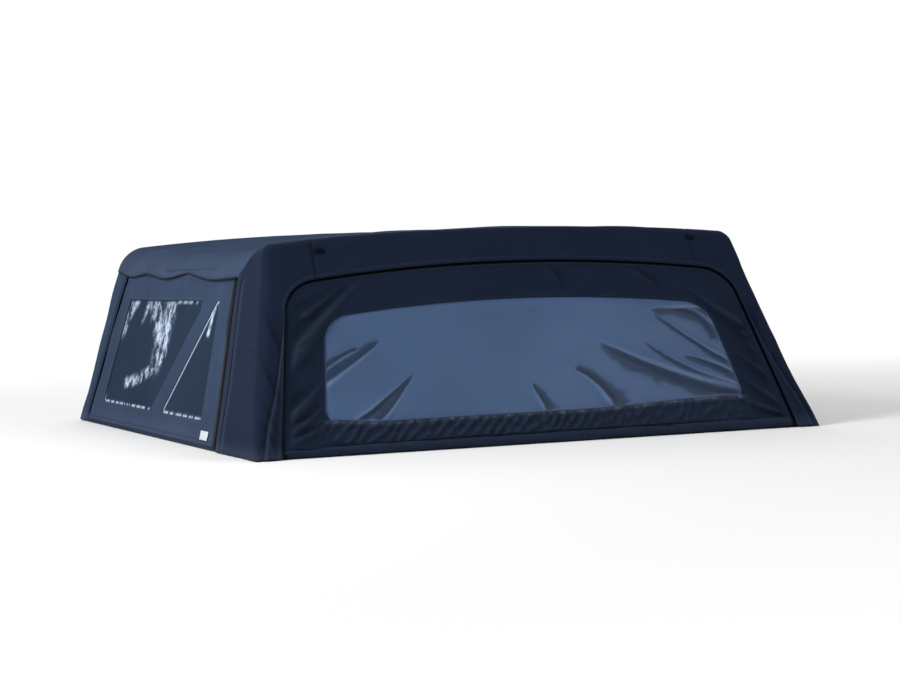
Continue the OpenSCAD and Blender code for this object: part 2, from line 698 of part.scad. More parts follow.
// The bend at the knee, as points of a smooth curve between the two straight tubes
function knee_pts(u, v) = [for (k = [0:6]) let (t = k / 6)
    arm_knee - knee_reach * pow(1 - t, 2) * u + knee_reach * t * t * v];
module rear_arm() {
    u = (arm_knee - arm_pivot) / norm(arm_knee - arm_pivot);
    v = (knuckle - arm_knee) / norm(knuckle - arm_knee);
    color([0.07, 0.07, 0.08]) {
        side_frame(arm_d) {
            bar(concat([arm_pivot + tube_start * u], knee_pts(u, v), [knuckle - tube_start * v]));
        }
        on_side(arm_d - tab_t / 2, arm_d + tab_t / 2) {
            tab(arm_pivot, u);
            tab(knuckle, -v);
        }
    }
}
module bow_rear() {
    s0 = (knuckle_z + rear_bow_d * sin(rear_lean)) / cos(rear_lean);
    lean = atan(tan(side_lean) * cos(rear_lean));
    x0 = side_point(0, side_s(knuckle_z, rear_leg_d), rear_leg_d)[0];
    top = (tube_top_z - rear_bow_drop + rear_bow_d * sin(rear_lean)) / cos(rear_lean);
    color([0.07, 0.07, 0.08]) {
        multmatrix([[1, 0, 0, 0], [0, sin(rear_lean), -cos(rear_lean), -half_l],
            [0, cos(rear_lean), sin(rear_lean), 0], [0, 0, 0, 1]])
            translate([0, s0, -rear_bow_d])
                hoop(x0, lean, top - s0, (crown_r - tube_d / 2 - inner) * cos(rear_lean),
                    rear_bow_bend_r, tube_start);
        for (m = [0, 1]) mirror([m, 0, 0]) {
            on_side(rear_leg_d - tab_t / 2, rear_leg_d + tab_t / 2)
                tab(knuckle, [sin(rear_lean), cos(rear_lean) / cos(side_lean)], false);
            on_side(arm_d - tab_t / 2 - pin_head_t - over, rear_leg_d + tab_t / 2)
                translate(knuckle) circle(pin_d / 2);
        }
    }
}

rail();  // rail_right
left() rail();  // rail_left
corner_cap();  // corner_cap_right
left() corner_cap();  // corner_cap_left
pivot_plate();  // pivot_plate_right
left() pivot_plate();  // pivot_plate_left
bow_front();
bow(pivot_second_y, bow_second_y, bow_second_crown_r);  // bow_second
bow(pivot_third_y, bow_third_y, bow_third_crown_r);  // bow_third
rear_arm();  // rear_arm_right
left() rear_arm();  // rear_arm_left
bow_rear();
roof();
front_corner();  // front_corner_right
left() front_corner();  // front_corner_left
rear_corner();  // rear_corner_right
left() rear_corner();  // rear_corner_left
rear_header();
side_panel();  // side_panel_right
left() side_panel();  // side_panel_left
window_large();  // window_large_right
left() window_large();  // window_large_left
window_small();  // window_small_right
left() window_small();  // window_small_left
front_curtain();
front_window();
rear_zip();
rear_curtain();
rear_window();
rear_hem();
rear_bar();
strap();  // strap_right
left() strap();  // strap_left
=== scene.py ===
"""Soft top for a pickup truck's load bed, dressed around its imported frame.

Metres. +X is the right side, +Y points to the cab, +Z is up, and z = 0 is the plane of the bed's rails.
The fabric is one tight skin over leaning faces, cut into sheets; each sheet is a function of two parameters.
A place on a face is flat: y or u along the face, and s up its slope.
"""

import bmesh
import bpy
import mathutils
import numpy as np
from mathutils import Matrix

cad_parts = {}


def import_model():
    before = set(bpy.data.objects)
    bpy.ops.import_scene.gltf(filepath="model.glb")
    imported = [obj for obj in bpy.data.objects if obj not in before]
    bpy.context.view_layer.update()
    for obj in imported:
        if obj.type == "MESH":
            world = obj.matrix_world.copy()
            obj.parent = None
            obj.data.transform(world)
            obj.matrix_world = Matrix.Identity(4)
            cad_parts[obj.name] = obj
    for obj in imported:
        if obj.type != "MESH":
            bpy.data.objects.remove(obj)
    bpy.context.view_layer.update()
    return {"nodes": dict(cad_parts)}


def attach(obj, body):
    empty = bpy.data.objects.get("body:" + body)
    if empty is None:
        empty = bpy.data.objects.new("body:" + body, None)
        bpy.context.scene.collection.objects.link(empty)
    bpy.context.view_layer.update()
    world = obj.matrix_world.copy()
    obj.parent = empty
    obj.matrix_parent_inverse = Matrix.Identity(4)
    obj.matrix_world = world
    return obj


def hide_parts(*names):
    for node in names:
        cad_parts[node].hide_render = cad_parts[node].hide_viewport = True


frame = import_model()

# Sizes shared with the solids
SIDES = {"right": 1, "left": -1}
HALF_W, HALF_L = 0.862, 1.075
SIDE, REAR, FRONT = np.radians((13.0, 26.4, 15.0))
COS_S = np.cos(SIDE)
ARCH = dict(w=0.788, lean=10.7, top=0.573, big=4.6, r=0.115)
GLASS = dict(w=0.663, lean=9.5, top=0.457, big=4.4, r=0.095)
GLASS_FOOT = 0.109
SEAM_X = 0.594
FLAP_Y, FLAP_Z = -0.583, 0.489
PANEL_REAR_Y, PANEL_FRONT_Y = -0.679, 0.974
ROOF_REAR_Y = -0.768
CORE = np.array((0.0, 0.0, 0.2))
UP = np.array((0.0, 0.0, 1.0))

# Thickness of the outer cloth, the panels, the panes and the narrow tapes
THICK, THIN, PANE_THICK, SIDE_PANE_THICK, TAPE_THICK = 0.0022, 0.0018, 0.0009, 0.0008, 0.0012

# How far the curtains and the panes lie behind their face, and how far a pane laps its sheet
CURTAIN_DEPTH, PANE_DEPTH, SIDE_PANE_DEPTH, PANE_LAP = 0.0052, 0.0090, 0.0070, 0.011

# Distances of the rows of stitching from their edge, and the radius of the braid on a hem
HEM_ROWS, EDGE_ROWS, STRIP_ROWS = (0.007, 0.0115), (0.0035, 0.0085), (0.040, 0.044)
ARCH_ROW, CURTAIN_ROW, BRAID_R = 0.0125, 0.0175, 0.0027


# Numbers over arrays

def smooth(a, b, x):
    """3 t t - 2 t t t, with t the share of the way from a to b."""
    t = np.clip((x - a) / (b - a), 0, 1)
    return t * t * (3 - 2 * t)


def fall(a, b, x):
    """1 up to a, and from there down to 0 at b: 1 - smooth."""
    return 1 - smooth(a, b, x)


def bell(x, at, width):
    """exp(-d d), with d the distance from x to at over the width."""
    return np.exp(-((x - at) / width) ** 2)


def length(v):
    return np.linalg.norm(v, axis=-1)


def unit(v):
    return v / np.linalg.norm(v, axis=-1, keepdims=True)


def stack(*parts):
    return np.stack(np.broadcast_arrays(*parts), -1)


def run(path):
    """How far each point of a path lies from its start, measured along it."""
    return np.cumsum(length(np.diff(path, axis=0, prepend=path[:1])))


def spaced(*stretches):
    """Shares from 0 to 1 in stretches of even pitch, each given as its end and its number of points."""
    starts = [0, *(end for end, _ in stretches)]
    return np.unique(np.concatenate([np.linspace(a, b, n) for a, (b, n) in zip(starts, stretches)]))


def between(a, b, shares):
    """Rows of points from edge a to edge b: a (1 - t) + b t for each share t."""
    t = np.asarray(shares)[:, None, None]
    return a * (1 - t) + b * t


def ripples(a, b, size, seed, waves=7):
    """Unevenness between about -1 and 1: a sum of plane waves, each with its own heading, phase and length."""
    rng = np.random.default_rng(seed)
    head, phase = rng.uniform(0, 2 * np.pi, (2, waves))
    turn = 2 * np.pi / (size * rng.uniform(0.7, 1.6, waves))
    a, b = np.broadcast_arrays(a, b)
    field = np.sin(turn * (a[..., None] * np.cos(head) + b[..., None] * np.sin(head)) + phase)
    return field.sum(-1) / np.sqrt(waves) * 0.75


def curve(row, steps):
    """The curve through three points, which are the row's first six numbers, in millimetres:
    (1-t)(1-t) p + 2 t (1-t) q + t t r, with q set so that the curve passes the middle point."""
    p, m, r = np.array(row[:6]).reshape(3, 2) / 1000
    t = np.linspace(0, 1, steps)[:, None]
    return (1 - t) ** 2 * p + 2 * t * (1 - t) * (2 * m - (p + r) / 2) + t * t * r


def folds(a, b, rows, blunt=0.0, steps=14):
    """(height, dark, light) of folds on a flat sheet. Each row is a curve through three points, a width and a
    height, in millimetres. Across it the height is exp(-d d) with a trough of half the height beside it; along
    it the fold fades as (1 - t)^0.7. dark is painted shade for the trough, with a sharp edge towards the
    ridge, and light is a painted highlight along that edge; a negative width puts them on the other side.
    Where blunt is more than 0 the dark fades only over that last share of the fold."""
    height, dark, light = np.zeros((3, *a.shape))
    for row in rows:
        line = curve(row, steps)
        width, rise = row[6] / 1000, row[7] / 1000
        step = line[1:] - line[:-1]
        x, y = a[..., None] - line[:-1, 0], b[..., None] - line[:-1, 1]
        share = np.clip((x * step[:, 0] + y * step[:, 1]) / (step ** 2).sum(-1), 0, 1)
        dx, dy = x - share * step[:, 0], y - share * step[:, 1]
        away = np.hypot(dx, dy)
        nearest = away.argmin(-1)[..., None]
        turn = step[:, 0] * dy - step[:, 1] * dx
        away, share, turn = (np.take_along_axis(v, nearest, -1)[..., 0] for v in (away, share, turn))
        along = (share + nearest[..., 0]) / (steps - 1)
        d = away * np.sign(turn) / (width * (1.15 - along * 0.75))
        start = smooth(-0.02, 0.06, along + 0.02)
        fade = np.clip(1 - along, 0, 1) ** 0.7 * start
        height += rise * fade * (bell(d, 0, 1) - 0.55 * bell(d, 1.5, 1))
        kept = smooth(0.0, blunt, 1 - along) * start if blunt else fade ** 0.7
        dark = np.maximum(dark, kept * smooth(0.0, 0.45, d) * bell(np.clip(d, 0, None), 0, 2))
        light = np.maximum(light, fade * bell(d, -0.10, 0.30))
    return height, dark, light


# Faces of the canopy

def leaning(half, angle, s, d):
    """(out, up) on a face that leans in by a, s up its slope and d behind it: half - s sin a - d cos a and
    s cos a - d sin a."""
    return half - s * np.sin(angle) - d * np.cos(angle), s * np.cos(angle) - d * np.sin(angle)


def side_pt(y, s, d=0.0):
    """Right side: the face leans in from x = HALF_W."""
    x, z = leaning(HALF_W, SIDE, s, d)
    return stack(x, y, z)


def rear_pt(u, s, d=0.0):
    """Rear: the face leans in from y = -HALF_L."""
    y, z = leaning(HALF_L, REAR, s, d)
    return stack(u, -y, z)


def front_pt(u, s, d=0.0):
    """Front: the face leans in from y = HALF_L."""
    return stack(u, *leaning(HALF_L, FRONT, s, d))


OUT_SIDE = np.array((np.cos(SIDE), 0, np.sin(SIDE)))
OUT_REAR = np.array((0, -np.cos(REAR), np.sin(REAR)))
OUT_FRONT = np.array((0, np.cos(FRONT), np.sin(FRONT)))

BOW_Y = (-0.80, -0.014, 0.486, 0.935)
CROWN_Z = (0.615, 0.620, 0.625, 0.632)
CROWN_CURVE = (0.066, 0.122, 0.076, 0.066)
SHOULDER_R = (0.026, 0.074, 0.076, 0.062)
HEM_Y, HEM_Z = (FLAP_Y, *BOW_Y[1:]), (FLAP_Z, 0.505, 0.506, 0.521)
HEM_SAG = (0.013, 0.0165, 0.0165)


def bay(y, z):
    """(bay, t): which bay between two bows a point lies in, from the rear, and its share of the way."""
    rear = FLAP_Y - 1.616 * (np.clip(z, FLAP_Z, 0.607) - FLAP_Z)
    front = HALF_L - z * np.tan(FRONT)
    posts = [rear, BOW_Y[1] + 0 * y, BOW_Y[2] + 0 * y, front]
    n = (y > posts[1]).astype(int) + (y > posts[2])
    lo, hi = np.choose(n, posts[:3]), np.choose(n, posts[1:])
    return n, np.clip((y - lo) / (hi - lo), 0, 1)


def hem_z(y):
    """Height of the flap's hem: straight between bows, less a sag of t (1 - t) mixed with a sine squared."""
    n, t = bay(y, np.full_like(y, FLAP_Z))
    sag = 1.6 * t * (1 - t) + 0.6 * np.sin(np.pi * t) ** 2
    return np.interp(y, HEM_Y, HEM_Z) - np.choose(n, HEM_SAG) * sag


def joined(a, b, r):
    """Two half spaces with a rounded edge: min(max(a + r, b + r), 0) + |max(a + r, 0), max(b + r, 0)| - r."""
    a, b = a + r, b + r
    return np.minimum(np.maximum(a, b), 0) + np.hypot(np.maximum(a, 0), np.maximum(b, 0)) - r


def skin(p):
    """Less than 0 inside the tight fabric: sides, crown, rear and front joined, hollowed between the bows."""
    x, y, z = np.abs(p[..., 0]), p[..., 1], p[..., 2]
    t = bay(y, z)[1]
    hollow = (4 * t * (1 - t)) ** 0.8
    side = (x - HALF_W) * np.cos(SIDE) + z * np.sin(SIDE) + 0.003 * hollow * smooth(0.40, 0.50, z)
    top = z - np.interp(y, BOW_Y, CROWN_Z) + np.interp(y, BOW_Y, CROWN_CURVE) * x * x + 0.011 * hollow
    d = joined(side, top, np.interp(y, BOW_Y, SHOULDER_R))
    rear = -(y + HALF_L) * np.cos(REAR) + z * np.sin(REAR)
    d = joined(d, rear, 0.009 + 0.022 * smooth(0.03, 0.18, z) - 0.013 * smooth(0.42, 0.57, z))
    front = (y - HALF_L) * np.cos(FRONT) + z * np.sin(FRONT)
    return joined(d, front, 0.018 + 0.017 * smooth(0.03, 0.12, z))


def to_skin(origin, heading):
    """Each origin moved along its heading to where skin is 0, found by halving."""
    lo, hi = np.full(origin.shape[:-1], -0.06), np.full(origin.shape[:-1], 0.30)
    for _ in range(26):
        mid = (lo + hi) / 2
        inside = skin(origin + heading * mid[..., None]) < 0
        lo, hi = np.where(inside, mid, lo), np.where(inside, hi, mid)
    return origin + heading * lo[..., None]


def wrap(a, b, out_a, out_b, shares):
    """A sheet from edge a to edge b round the skin: points on the straight lines between them, each moved out
    along the blend of the two edges' outward directions until it lies on the skin."""
    return to_skin(between(a, b, shares), unit(between(out_a, out_b, shares)))


def level_at_foot(out, z):
    """Outward directions made level towards the foot, so that a sheet's lower edge stays at its height."""
    return unit(out * stack(1.0, 1.0, smooth(0.0, 0.20, z)))


def normals(p):
    """Outward unit normals of a grid of points, from the cross product of its two differences."""
    n = np.cross(np.gradient(p, axis=0), np.gradient(p, axis=1))
    n /= np.maximum(np.linalg.norm(n, axis=-1, keepdims=True), 1e-12)
    return n * np.sign((n * (p - CORE)).sum())


def from_row(p, row):
    """How far each point of a grid lies from its column's point in one row."""
    return length(p - p[[row]])


def off_edges(a, b):
    """0 at two edges and 1 from 20 mm inside them, by the distances to them."""
    return smooth(0, 0.02, a) * smooth(0, 0.02, b)


# Outlines

def arc(centre, r, start, end, n):
    t = np.linspace(start, end, n)
    return stack(centre[0] + r * np.cos(t), centre[1] + r * np.sin(t))


def half_arch(w, lean, top, big, r, foot=0.0, inset=0.0, counts=(30, 22, 60)):
    """Right half of an arch, from foot to crown: a side that leans in, a corner of radius r and a crown of
    radius big, all tangent, the whole moved in by inset."""
    a = np.radians(lean)
    n, e = np.array((np.cos(a), np.sin(a))), np.array((-np.sin(a), np.cos(a)))
    q = (w * np.cos(a) - r) * n
    d = q - (0, top - big)
    c = q + (-d @ e + np.sqrt((d @ e) ** 2 - d @ d + (big - r) ** 2)) * e
    turn = np.arctan2(c[1] - top + big, c[0])
    corner = arc(c, r - inset, a, turn, counts[1])
    crown = arc((0, top - big), big - inset, turn, np.pi / 2, counts[2])[1:]
    s = np.linspace(foot, corner[0, 1], counts[0], endpoint=False)
    side = stack(w - inset / np.cos(a) - s * np.tan(a), s)
    return np.concatenate((side, corner, crown))


def both_halves(right):
    """A right half with its mirror image after it."""
    return np.concatenate((right, right[-2::-1] * (-1, 1)))


def arch_loop(shape, foot, inset=0.0, across=120, counts=(30, 22, 60)):
    """A whole arch as a closed loop: right half up, left half down, then along the foot."""
    arch = both_halves(half_arch(**shape, foot=foot, inset=inset, counts=counts))
    return np.concatenate((arch, stack(np.linspace(arch[-1, 0], arch[0, 0], across + 2)[1:-1], foot)))


def glass_loop(grow, across, counts=(30, 22, 60)):
    """The rear window's outline, grown; its sides draw in towards the foot, by 0.014 (1 - smooth)."""
    loop = arch_loop(GLASS, GLASS_FOOT - grow, -grow, across, counts)
    drawn = 0.014 * fall(-0.010, 0.034, loop[:, 1] - GLASS_FOOT + grow)
    return stack(loop[:, 0] * (1 - drawn / GLASS["w"]), loop[:, 1])


def corner_loop(corners, radii, sides, arcs=7, spread=0.02):
    """A closed loop round a convex outline, anticlockwise, with rounded corners; where a radius is 0, the
    corner's points lie along its two sides instead."""
    c = np.array(corners, float)
    radii = np.broadcast_to(radii, len(c))
    turned = []
    for i, r in enumerate(radii):
        u, v = unit(c[i - 1] - c[i]), unit(c[(i + 1) % len(c)] - c[i])
        if r == 0:
            k = np.linspace(-spread, spread, arcs)[:, None]
            turned.append(np.where(k < 0, c[i] - u * k, c[i] + v * k))
            continue
        half = np.arccos(u @ v) / 2
        start = np.arctan2(u[0], -u[1])
        turned.append(arc(c[i] + unit(u + v) * r / np.sin(half), r, start, start + np.pi - 2 * half, arcs))
    loop = []
    for corner, after in zip(turned, turned[1:] + turned[:1]):
        k = np.linspace(0, 1, sides + 2)[1:-1, None]
        loop += [corner, corner[-1] * (1 - k) + after[0] * k]
    return np.concatenate(loop)


def loop_gap(points, loop):
    """(distance, foot): each point's distance to a closed loop, more than 0 inside, and the nearest point."""
    gap, inside = np.full(points.shape[:-1], np.inf), np.zeros(points.shape[:-1], bool)
    near = np.zeros(points.shape)
    for p, q in zip(loop, np.roll(loop, -1, 0)):
        e = q - p
        t = np.clip(((points - p) @ e) / max(e @ e, 1e-12), 0, 1)
        foot = p + t[..., None] * e
        d = length(points - foot)
        near = np.where((d < gap)[..., None], foot, near)
        gap = np.minimum(gap, d)
        crosses = (p[1] > points[..., 1]) != (q[1] > points[..., 1])
        x = p[0] + (points[..., 1] - p[1]) * e[0] / (e[1] if e[1] else 1e-12)
        inside ^= crosses & (points[..., 0] < x)
    return np.where(inside, gap, -gap), near


def trimmed(loop, spacing):
    """A flat grid cut to a loop: cells whose middle lies inside stay, and their outer corners move onto it."""
    lo, hi = loop.min(0) - spacing, loop.max(0) + spacing
    n = np.ceil((hi - lo) / spacing).astype(int)
    grid = np.stack(np.meshgrid(np.linspace(lo[0], hi[0], n[0]), np.linspace(lo[1], hi[1], n[1])), -1)
    keep = loop_gap((grid[:-1, :-1] + grid[1:, 1:]) / 2, loop)[0] > 0
    faces = grid_faces(grid)[keep.ravel()]
    flat = grid.reshape(-1, 2)
    uses = np.bincount(faces.ravel(), minlength=len(flat))
    rim = (uses > 0) & (uses < 4)
    flat[rim] = loop_gap(flat[rim], loop)[1]
    used = np.unique(faces)
    order = np.full(len(flat), -1)
    order[used] = np.arange(len(used))
    return flat[used], order[faces]


# Meshes

def grid_faces(*grids, wrapped=False):
    """Faces of grids whose points follow one another; wrapped joins each one's last column to its first."""
    faces, first = [], 0
    for rows, cols in (grid.shape[:2] for grid in grids):
        r, c = np.arange(rows - 1)[:, None] * cols, np.arange(cols if wrapped else cols - 1)
        n = (c + 1) % cols
        faces.append(first + np.stack((r + c, r + n, r + cols + n, r + cols + c), -1).reshape(-1, 4))
        first += rows * cols
    return np.concatenate(faces)


def joined_points(grids):
    return np.concatenate([grid.reshape(-1, grid.shape[-1]) for grid in grids])


def piece(name, points, faces, finish, replaces=(), uv=None, thick=0.0, closed=False, merge=2e-5, **marks):
    """A mesh piece that rides with the frame. finish is its material and its slot; the slot is not used. thick
    gives it a wall behind, and marks are numbers at its points that the material reads. A closed piece's faces
    are numbered outwards; those of a sheet are turned to point away from the canopy's core."""
    points = np.asarray(points, float).reshape(-1, 3)
    if not closed:
        a, b, c, d = points[faces].transpose(1, 0, 2)
        if (np.cross(c - a, d - b) * ((a + b + c + d) / 4 - CORE)).sum() < 0:
            faces = faces[:, ::-1]
    mesh = bpy.data.meshes.new(name)
    mesh.from_pydata(points.tolist(), [], faces.tolist())
    if uv is not None:
        layer = mesh.uv_layers.new(name="flat")
        layer.data.foreach_set("uv", np.asarray(uv, float).reshape(-1, 2)[faces.ravel()].ravel())
    for key, values in marks.items():
        mesh.attributes.new(key, "FLOAT", "POINT").data.foreach_set("value", np.asarray(values, float).ravel())
    mesh.polygons.foreach_set("use_smooth", np.ones(len(mesh.polygons), bool))
    work = bmesh.new()
    work.from_mesh(mesh)
    bmesh.ops.remove_doubles(work, verts=work.verts, dist=merge)
    bmesh.ops.dissolve_degenerate(work, edges=work.edges, dist=merge)
    work.to_mesh(mesh)
    work.free()
    look, slot = finish
    mesh.materials.append(look)
    obj = bpy.data.objects.new(name, mesh)
    bpy.context.scene.collection.objects.link(obj)
    if thick:
        wall = obj.modifiers.new("wall", "SOLIDIFY")
        wall.thickness, wall.offset = thick, -1.0
    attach(obj, "root")
    if replaces:
        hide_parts(*replaces)
    return obj


def sheet(name, p, finish, *more, wrapped=False, **rest):
    """A piece whose points are one grid."""
    return piece(name, p, grid_faces(p, wrapped=wrapped), finish, *more, **rest)


def mirror(points, name):
    """Points of the right side, carried to the side that is named."""
    return points * (SIDES[name], 1, 1)


def tube(path, radius, sides):
    """Rings of a tube: path + r (cos t a + sin t b), with a and b square to the path. The radius may change
    along it, and the ends are drawn together to a point."""
    ahead = unit(np.gradient(path, axis=0))
    a = unit(np.cross(ahead, UP))
    b = np.cross(a, ahead)
    t = np.linspace(0, 2 * np.pi, sides, endpoint=False)[:, None]
    r = np.broadcast_to(radius, len(path))[:, None, None]
    rings = path[:, None] + r * (np.cos(t) * a[:, None] + np.sin(t) * b[:, None])
    first, last = (np.repeat(path[None, [end]], sides, 1) for end in (0, -1))
    return np.concatenate((first, rings, last))


def tube_faces(*tubes):
    """A tube's rings run round it clockwise, so its faces are turned to point outwards."""
    return grid_faces(*tubes, wrapped=True)[:, ::-1]


def seam(p, away, n=None):
    """(path, outward normals): the points of a grid at one distance from its first row, along each column."""
    n = normals(p) if n is None else n
    gone = from_row(p, 0)
    row = np.clip((gone < away).sum(0) - 1, 0, len(p) - 2)
    column = np.arange(p.shape[1])
    lo, hi = gone[row, column], gone[row + 1, column]
    t = np.clip((away - lo) / np.maximum(hi - lo, 1e-9), 0, 1)[:, None]
    return p[row, column] * (1 - t) + p[row + 1, column] * t, n[row, column]


def stitches(name, seams, slot, pitch=0.0056, long=0.0040, radius=0.0007):
    """Rows of thread, at an even pitch: each stitch is a spindle of six faces along its seam, half sunk in the
    cloth. Its points are a tail, three ribs and a tip."""
    points = []
    for path, out in seams:
        gone = run(path)
        at = np.arange(pitch / 2, gone[-1], pitch)
        p, n = (stack(*[np.interp(at, gone, v[:, k]) for k in range(3)]) for v in (path, out))
        ahead = unit(np.gradient(p, axis=0)) * long / 2
        across, n = unit(np.cross(ahead, n)), unit(n)
        ribs = [p + radius * (0.4 * n + np.cos(t) * n + np.sin(t) * across) for t in (0.0, 2.1, 4.2)]
        points.append(np.stack((p - ahead, *ribs, p + ahead), 1))
    points = np.concatenate(points)
    spindle = np.array([[0, 2, 1], [0, 3, 2], [0, 1, 3], [4, 1, 2], [4, 2, 3], [4, 3, 1]])
    faces = (np.arange(len(points))[:, None, None] * 5 + spindle).reshape(-1, 3)
    return piece(name, points, faces, (THREAD, slot), closed=True, merge=1e-6)


# Materials

def srgb(r, g, b):
    """A colour as it is seen, 0 to 255, turned linear."""
    c = np.array((r, g, b)) / 255
    return (*np.where(c <= 0.04045, c / 12.92, ((c + 0.055) / 1.055) ** 2.4).tolist(), 1.0)


def tint(colour, gain):
    return (*[min(c * gain, 1.0) for c in colour[:3]], 1.0)


class Value:
    """A node's output. Its operators add Math nodes, also with a plain number on the left."""

    def __init__(self, look, socket):
        self.look, self.socket = look, socket

    def math(self, operation, *others):
        return self.look.node("ShaderNodeMath", {"operation": operation}, dict(enumerate((self, *others))))

    def capped(self):
        return self.math("MINIMUM", 1.0)

    def __add__(self, o): return self.math("ADD", o)
    def __radd__(self, o): return self.math("ADD", o)
    def __sub__(self, o): return self.math("SUBTRACT", o)
    def __rsub__(self, o): return self * -1.0 + o
    def __mul__(self, o): return self.math("MULTIPLY", o)
    def __rmul__(self, o): return self.math("MULTIPLY", o)
    def __pow__(self, o): return self.math("POWER", o)


class Look:
    """The nodes of a material or a world. node() makes any of them: its type, its settings first, then the
    values or links of its sockets."""

    def __init__(self, name, owner=None):
        self.owner = owner or bpy.data.materials.new(name)
        self.owner.use_nodes = True
        self.tree = self.owner.node_tree
        self.tree.nodes.clear()

    def node(self, kind, settings=None, inputs=None, out=0):
        made = self.tree.nodes.new(kind)
        for key, value in (settings or {}).items():
            setattr(made, key, value)
        for key, value in (inputs or {}).items():
            if isinstance(value, Value):
                self.tree.links.new(value.socket, made.inputs[key])
            else:
                made.inputs[key].default_value = value
        return Value(self, made.outputs[out]) if made.outputs else made

    def place(self, kind="Object"):
        return self.node("ShaderNodeTexCoord", out=kind)

    def parts(self, vector):
        """The x and the y of a vector."""
        made = self.node("ShaderNodeSeparateXYZ", None, {0: vector}).socket.node
        return [Value(self, made.outputs[k]) for k in range(2)]

    def noise(self, vector, scale, detail, rough):
        inputs = {"Vector": vector, "Scale": scale, "Detail": detail, "Roughness": rough}
        return self.node("ShaderNodeTexNoise", None, inputs)

    def step(self, value, lo, hi):
        inputs = {"Value": value, "From Min": lo, "From Max": hi}
        return self.node("ShaderNodeMapRange", {"interpolation_type": "SMOOTHSTEP"}, inputs)

    def mark(self, name):
        return self.node("ShaderNodeAttribute", {"attribute_name": name}, out="Fac")

    def mix(self, share, a, b):
        return self.node("ShaderNodeMix", {"data_type": "RGBA"}, {0: share, 6: a, 7: b}, out=2)

    def bump(self, height, strength, distance, under=None):
        inputs = {"Height": height, "Strength": strength, "Distance": distance}
        return self.node("ShaderNodeBump", None, {**inputs, **({"Normal": under} if under else {})})

    def surface(self, **inputs):
        inputs = {key.replace("_", " "): value for key, value in inputs.items()}
        shader = self.node("ShaderNodeBsdfPrincipled", None, inputs)
        self.node("ShaderNodeOutputMaterial", None, {"Surface": shader})
        return self.owner


def woven(name, colour, pitch=0.0018, sheen=0.04, rough=0.80, shine=0.03):
    """Coated twill: threads run both ways with a diagonal rib, worn a little paler in patches and dusty on
    seams.
    The mark for dust also carries painted light on ridges and edges; the shade mark is painted shade in folds,
    grooves and beside raised edges."""
    look = Look(name)
    place = look.place()
    x, y = look.parts(look.place("UV"))
    warp, weft = (x * (2 * np.pi / pitch)).math("SINE"), (y * (2 * np.pi / pitch)).math("SINE")
    rib = ((x + y) * (np.pi / pitch)).math("SINE")
    threads = warp * 0.3 + weft * 0.3 + rib * 0.4
    wear = look.noise(place, 5.5, 5.0, 0.6)
    grain = look.noise(place, 260.0, 2.0, 0.5)
    dust = look.mark("dust")
    base = look.mix(wear * 0.5 + grain * 0.22 + threads * 0.07 + 0.125, tint(colour, 0.50), tint(colour, 1.55))
    # Painted shade: darker where the shade mark is set
    base = look.mix(look.mark("shade"), base, tint(colour, 0.35))
    specks = look.step(look.noise(place, 75.0, 4.0, 0.65), 0.36, 0.66)
    uneven = look.step(dust, 0.2, 0.5) * 0.55 + 0.2
    # Paler where the mark for dust is set: real dust, and painted light on ridges and edges
    base = look.mix(dust * ((specks - 0.5) * uneven + 0.62), base, srgb(86, 97, 116))
    soft = look.bump(look.noise(place, 38.0, 3.0, 0.5), 0.18, 0.004)
    normal = look.bump(threads, 0.22, 0.0004, soft)
    return look.surface(Base_Color=base, Roughness=rough - 0.10 + wear * 0.2, Normal=normal,
                        Sheen_Weight=sheen, Sheen_Roughness=0.45, Sheen_Tint=srgb(150, 175, 235),
                        Specular_IOR_Level=shine)


def film(name, colour, dark, bright, alpha, rough, level):
    """Clear vinyl, hazy and a little blue. Creases get painted shade in their troughs and painted highlights
    on their edges, some window edges get painted highlights too, and flecks of painted reflection lie along
    given curves."""
    look = Look(name)
    place = look.place()
    crease, edge, glint = (look.mark(key) for key in ("crease", "edge", "glint"))
    cloud = look.noise(place, 3.0, 3.0, 0.5)
    fine = look.noise(place, 90.0, 3.0, 0.6)
    base = look.mix(cloud, tint(colour, 0.82), tint(colour, 1.22))
    # Painted shade in the creases' troughs, ragged at its edge
    ragged = look.step(crease + (look.noise(place, 13.0, 4.0, 0.60) - 0.5), 0.17, 0.44)
    base = look.mix((crease * 0.34 + ragged * 0.52).capped(), base, dark)
    # Painted reflection in flecks along the glint curves
    white = glint * look.step(look.noise(place, 24.0, 6.0, 0.72), 0.42, 0.64)
    # Painted highlights where the edge mark is set, and the painted reflection, towards the bright colour
    base = look.mix((edge + white).capped(), base, bright)
    normal = look.bump(look.noise(place, 14.0, 2.0, 0.4), 0.10, 0.01)
    alpha = (alpha + (crease + edge + white) * (1 - alpha)).capped()
    return look.surface(Base_Color=base, Roughness=rough + fine * 0.05, Normal=normal, Alpha=alpha,
                        Specular_IOR_Level=level, IOR=1.5), "clear_vinyl"


def moulded(name, colour, rough=0.55):
    """Grained plastic."""
    look = Look(name)
    place = look.place()
    grain = look.noise(place, 320.0, 3.0, 0.6)
    scuff = look.noise(place, 16.0, 6.0, 0.65)
    base = look.mix(look.step(scuff, 0.45, 0.75) * 0.6, colour, tint(colour, 1.9))
    return look.surface(Base_Color=base, Roughness=rough + grain * 0.15, Normal=look.bump(grain, 0.35, 0.0006),
                        Specular_IOR_Level=0.45)


def painted(name, colour, rough=0.38):
    """Powder coat on tube or rail: a fine orange peel, dulled by rubbing."""
    look = Look(name)
    place = look.place()
    peel = look.noise(place, 420.0, 2.0, 0.5)
    rub = look.noise(place, 22.0, 5.0, 0.6)
    base = look.mix(look.step(rub, 0.52, 0.78), colour, tint(colour, 2.6))
    return look.surface(Base_Color=base, Roughness=rough + rub * 0.22, Normal=look.bump(peel, 0.25, 0.0003),
                        Specular_IOR_Level=0.5)


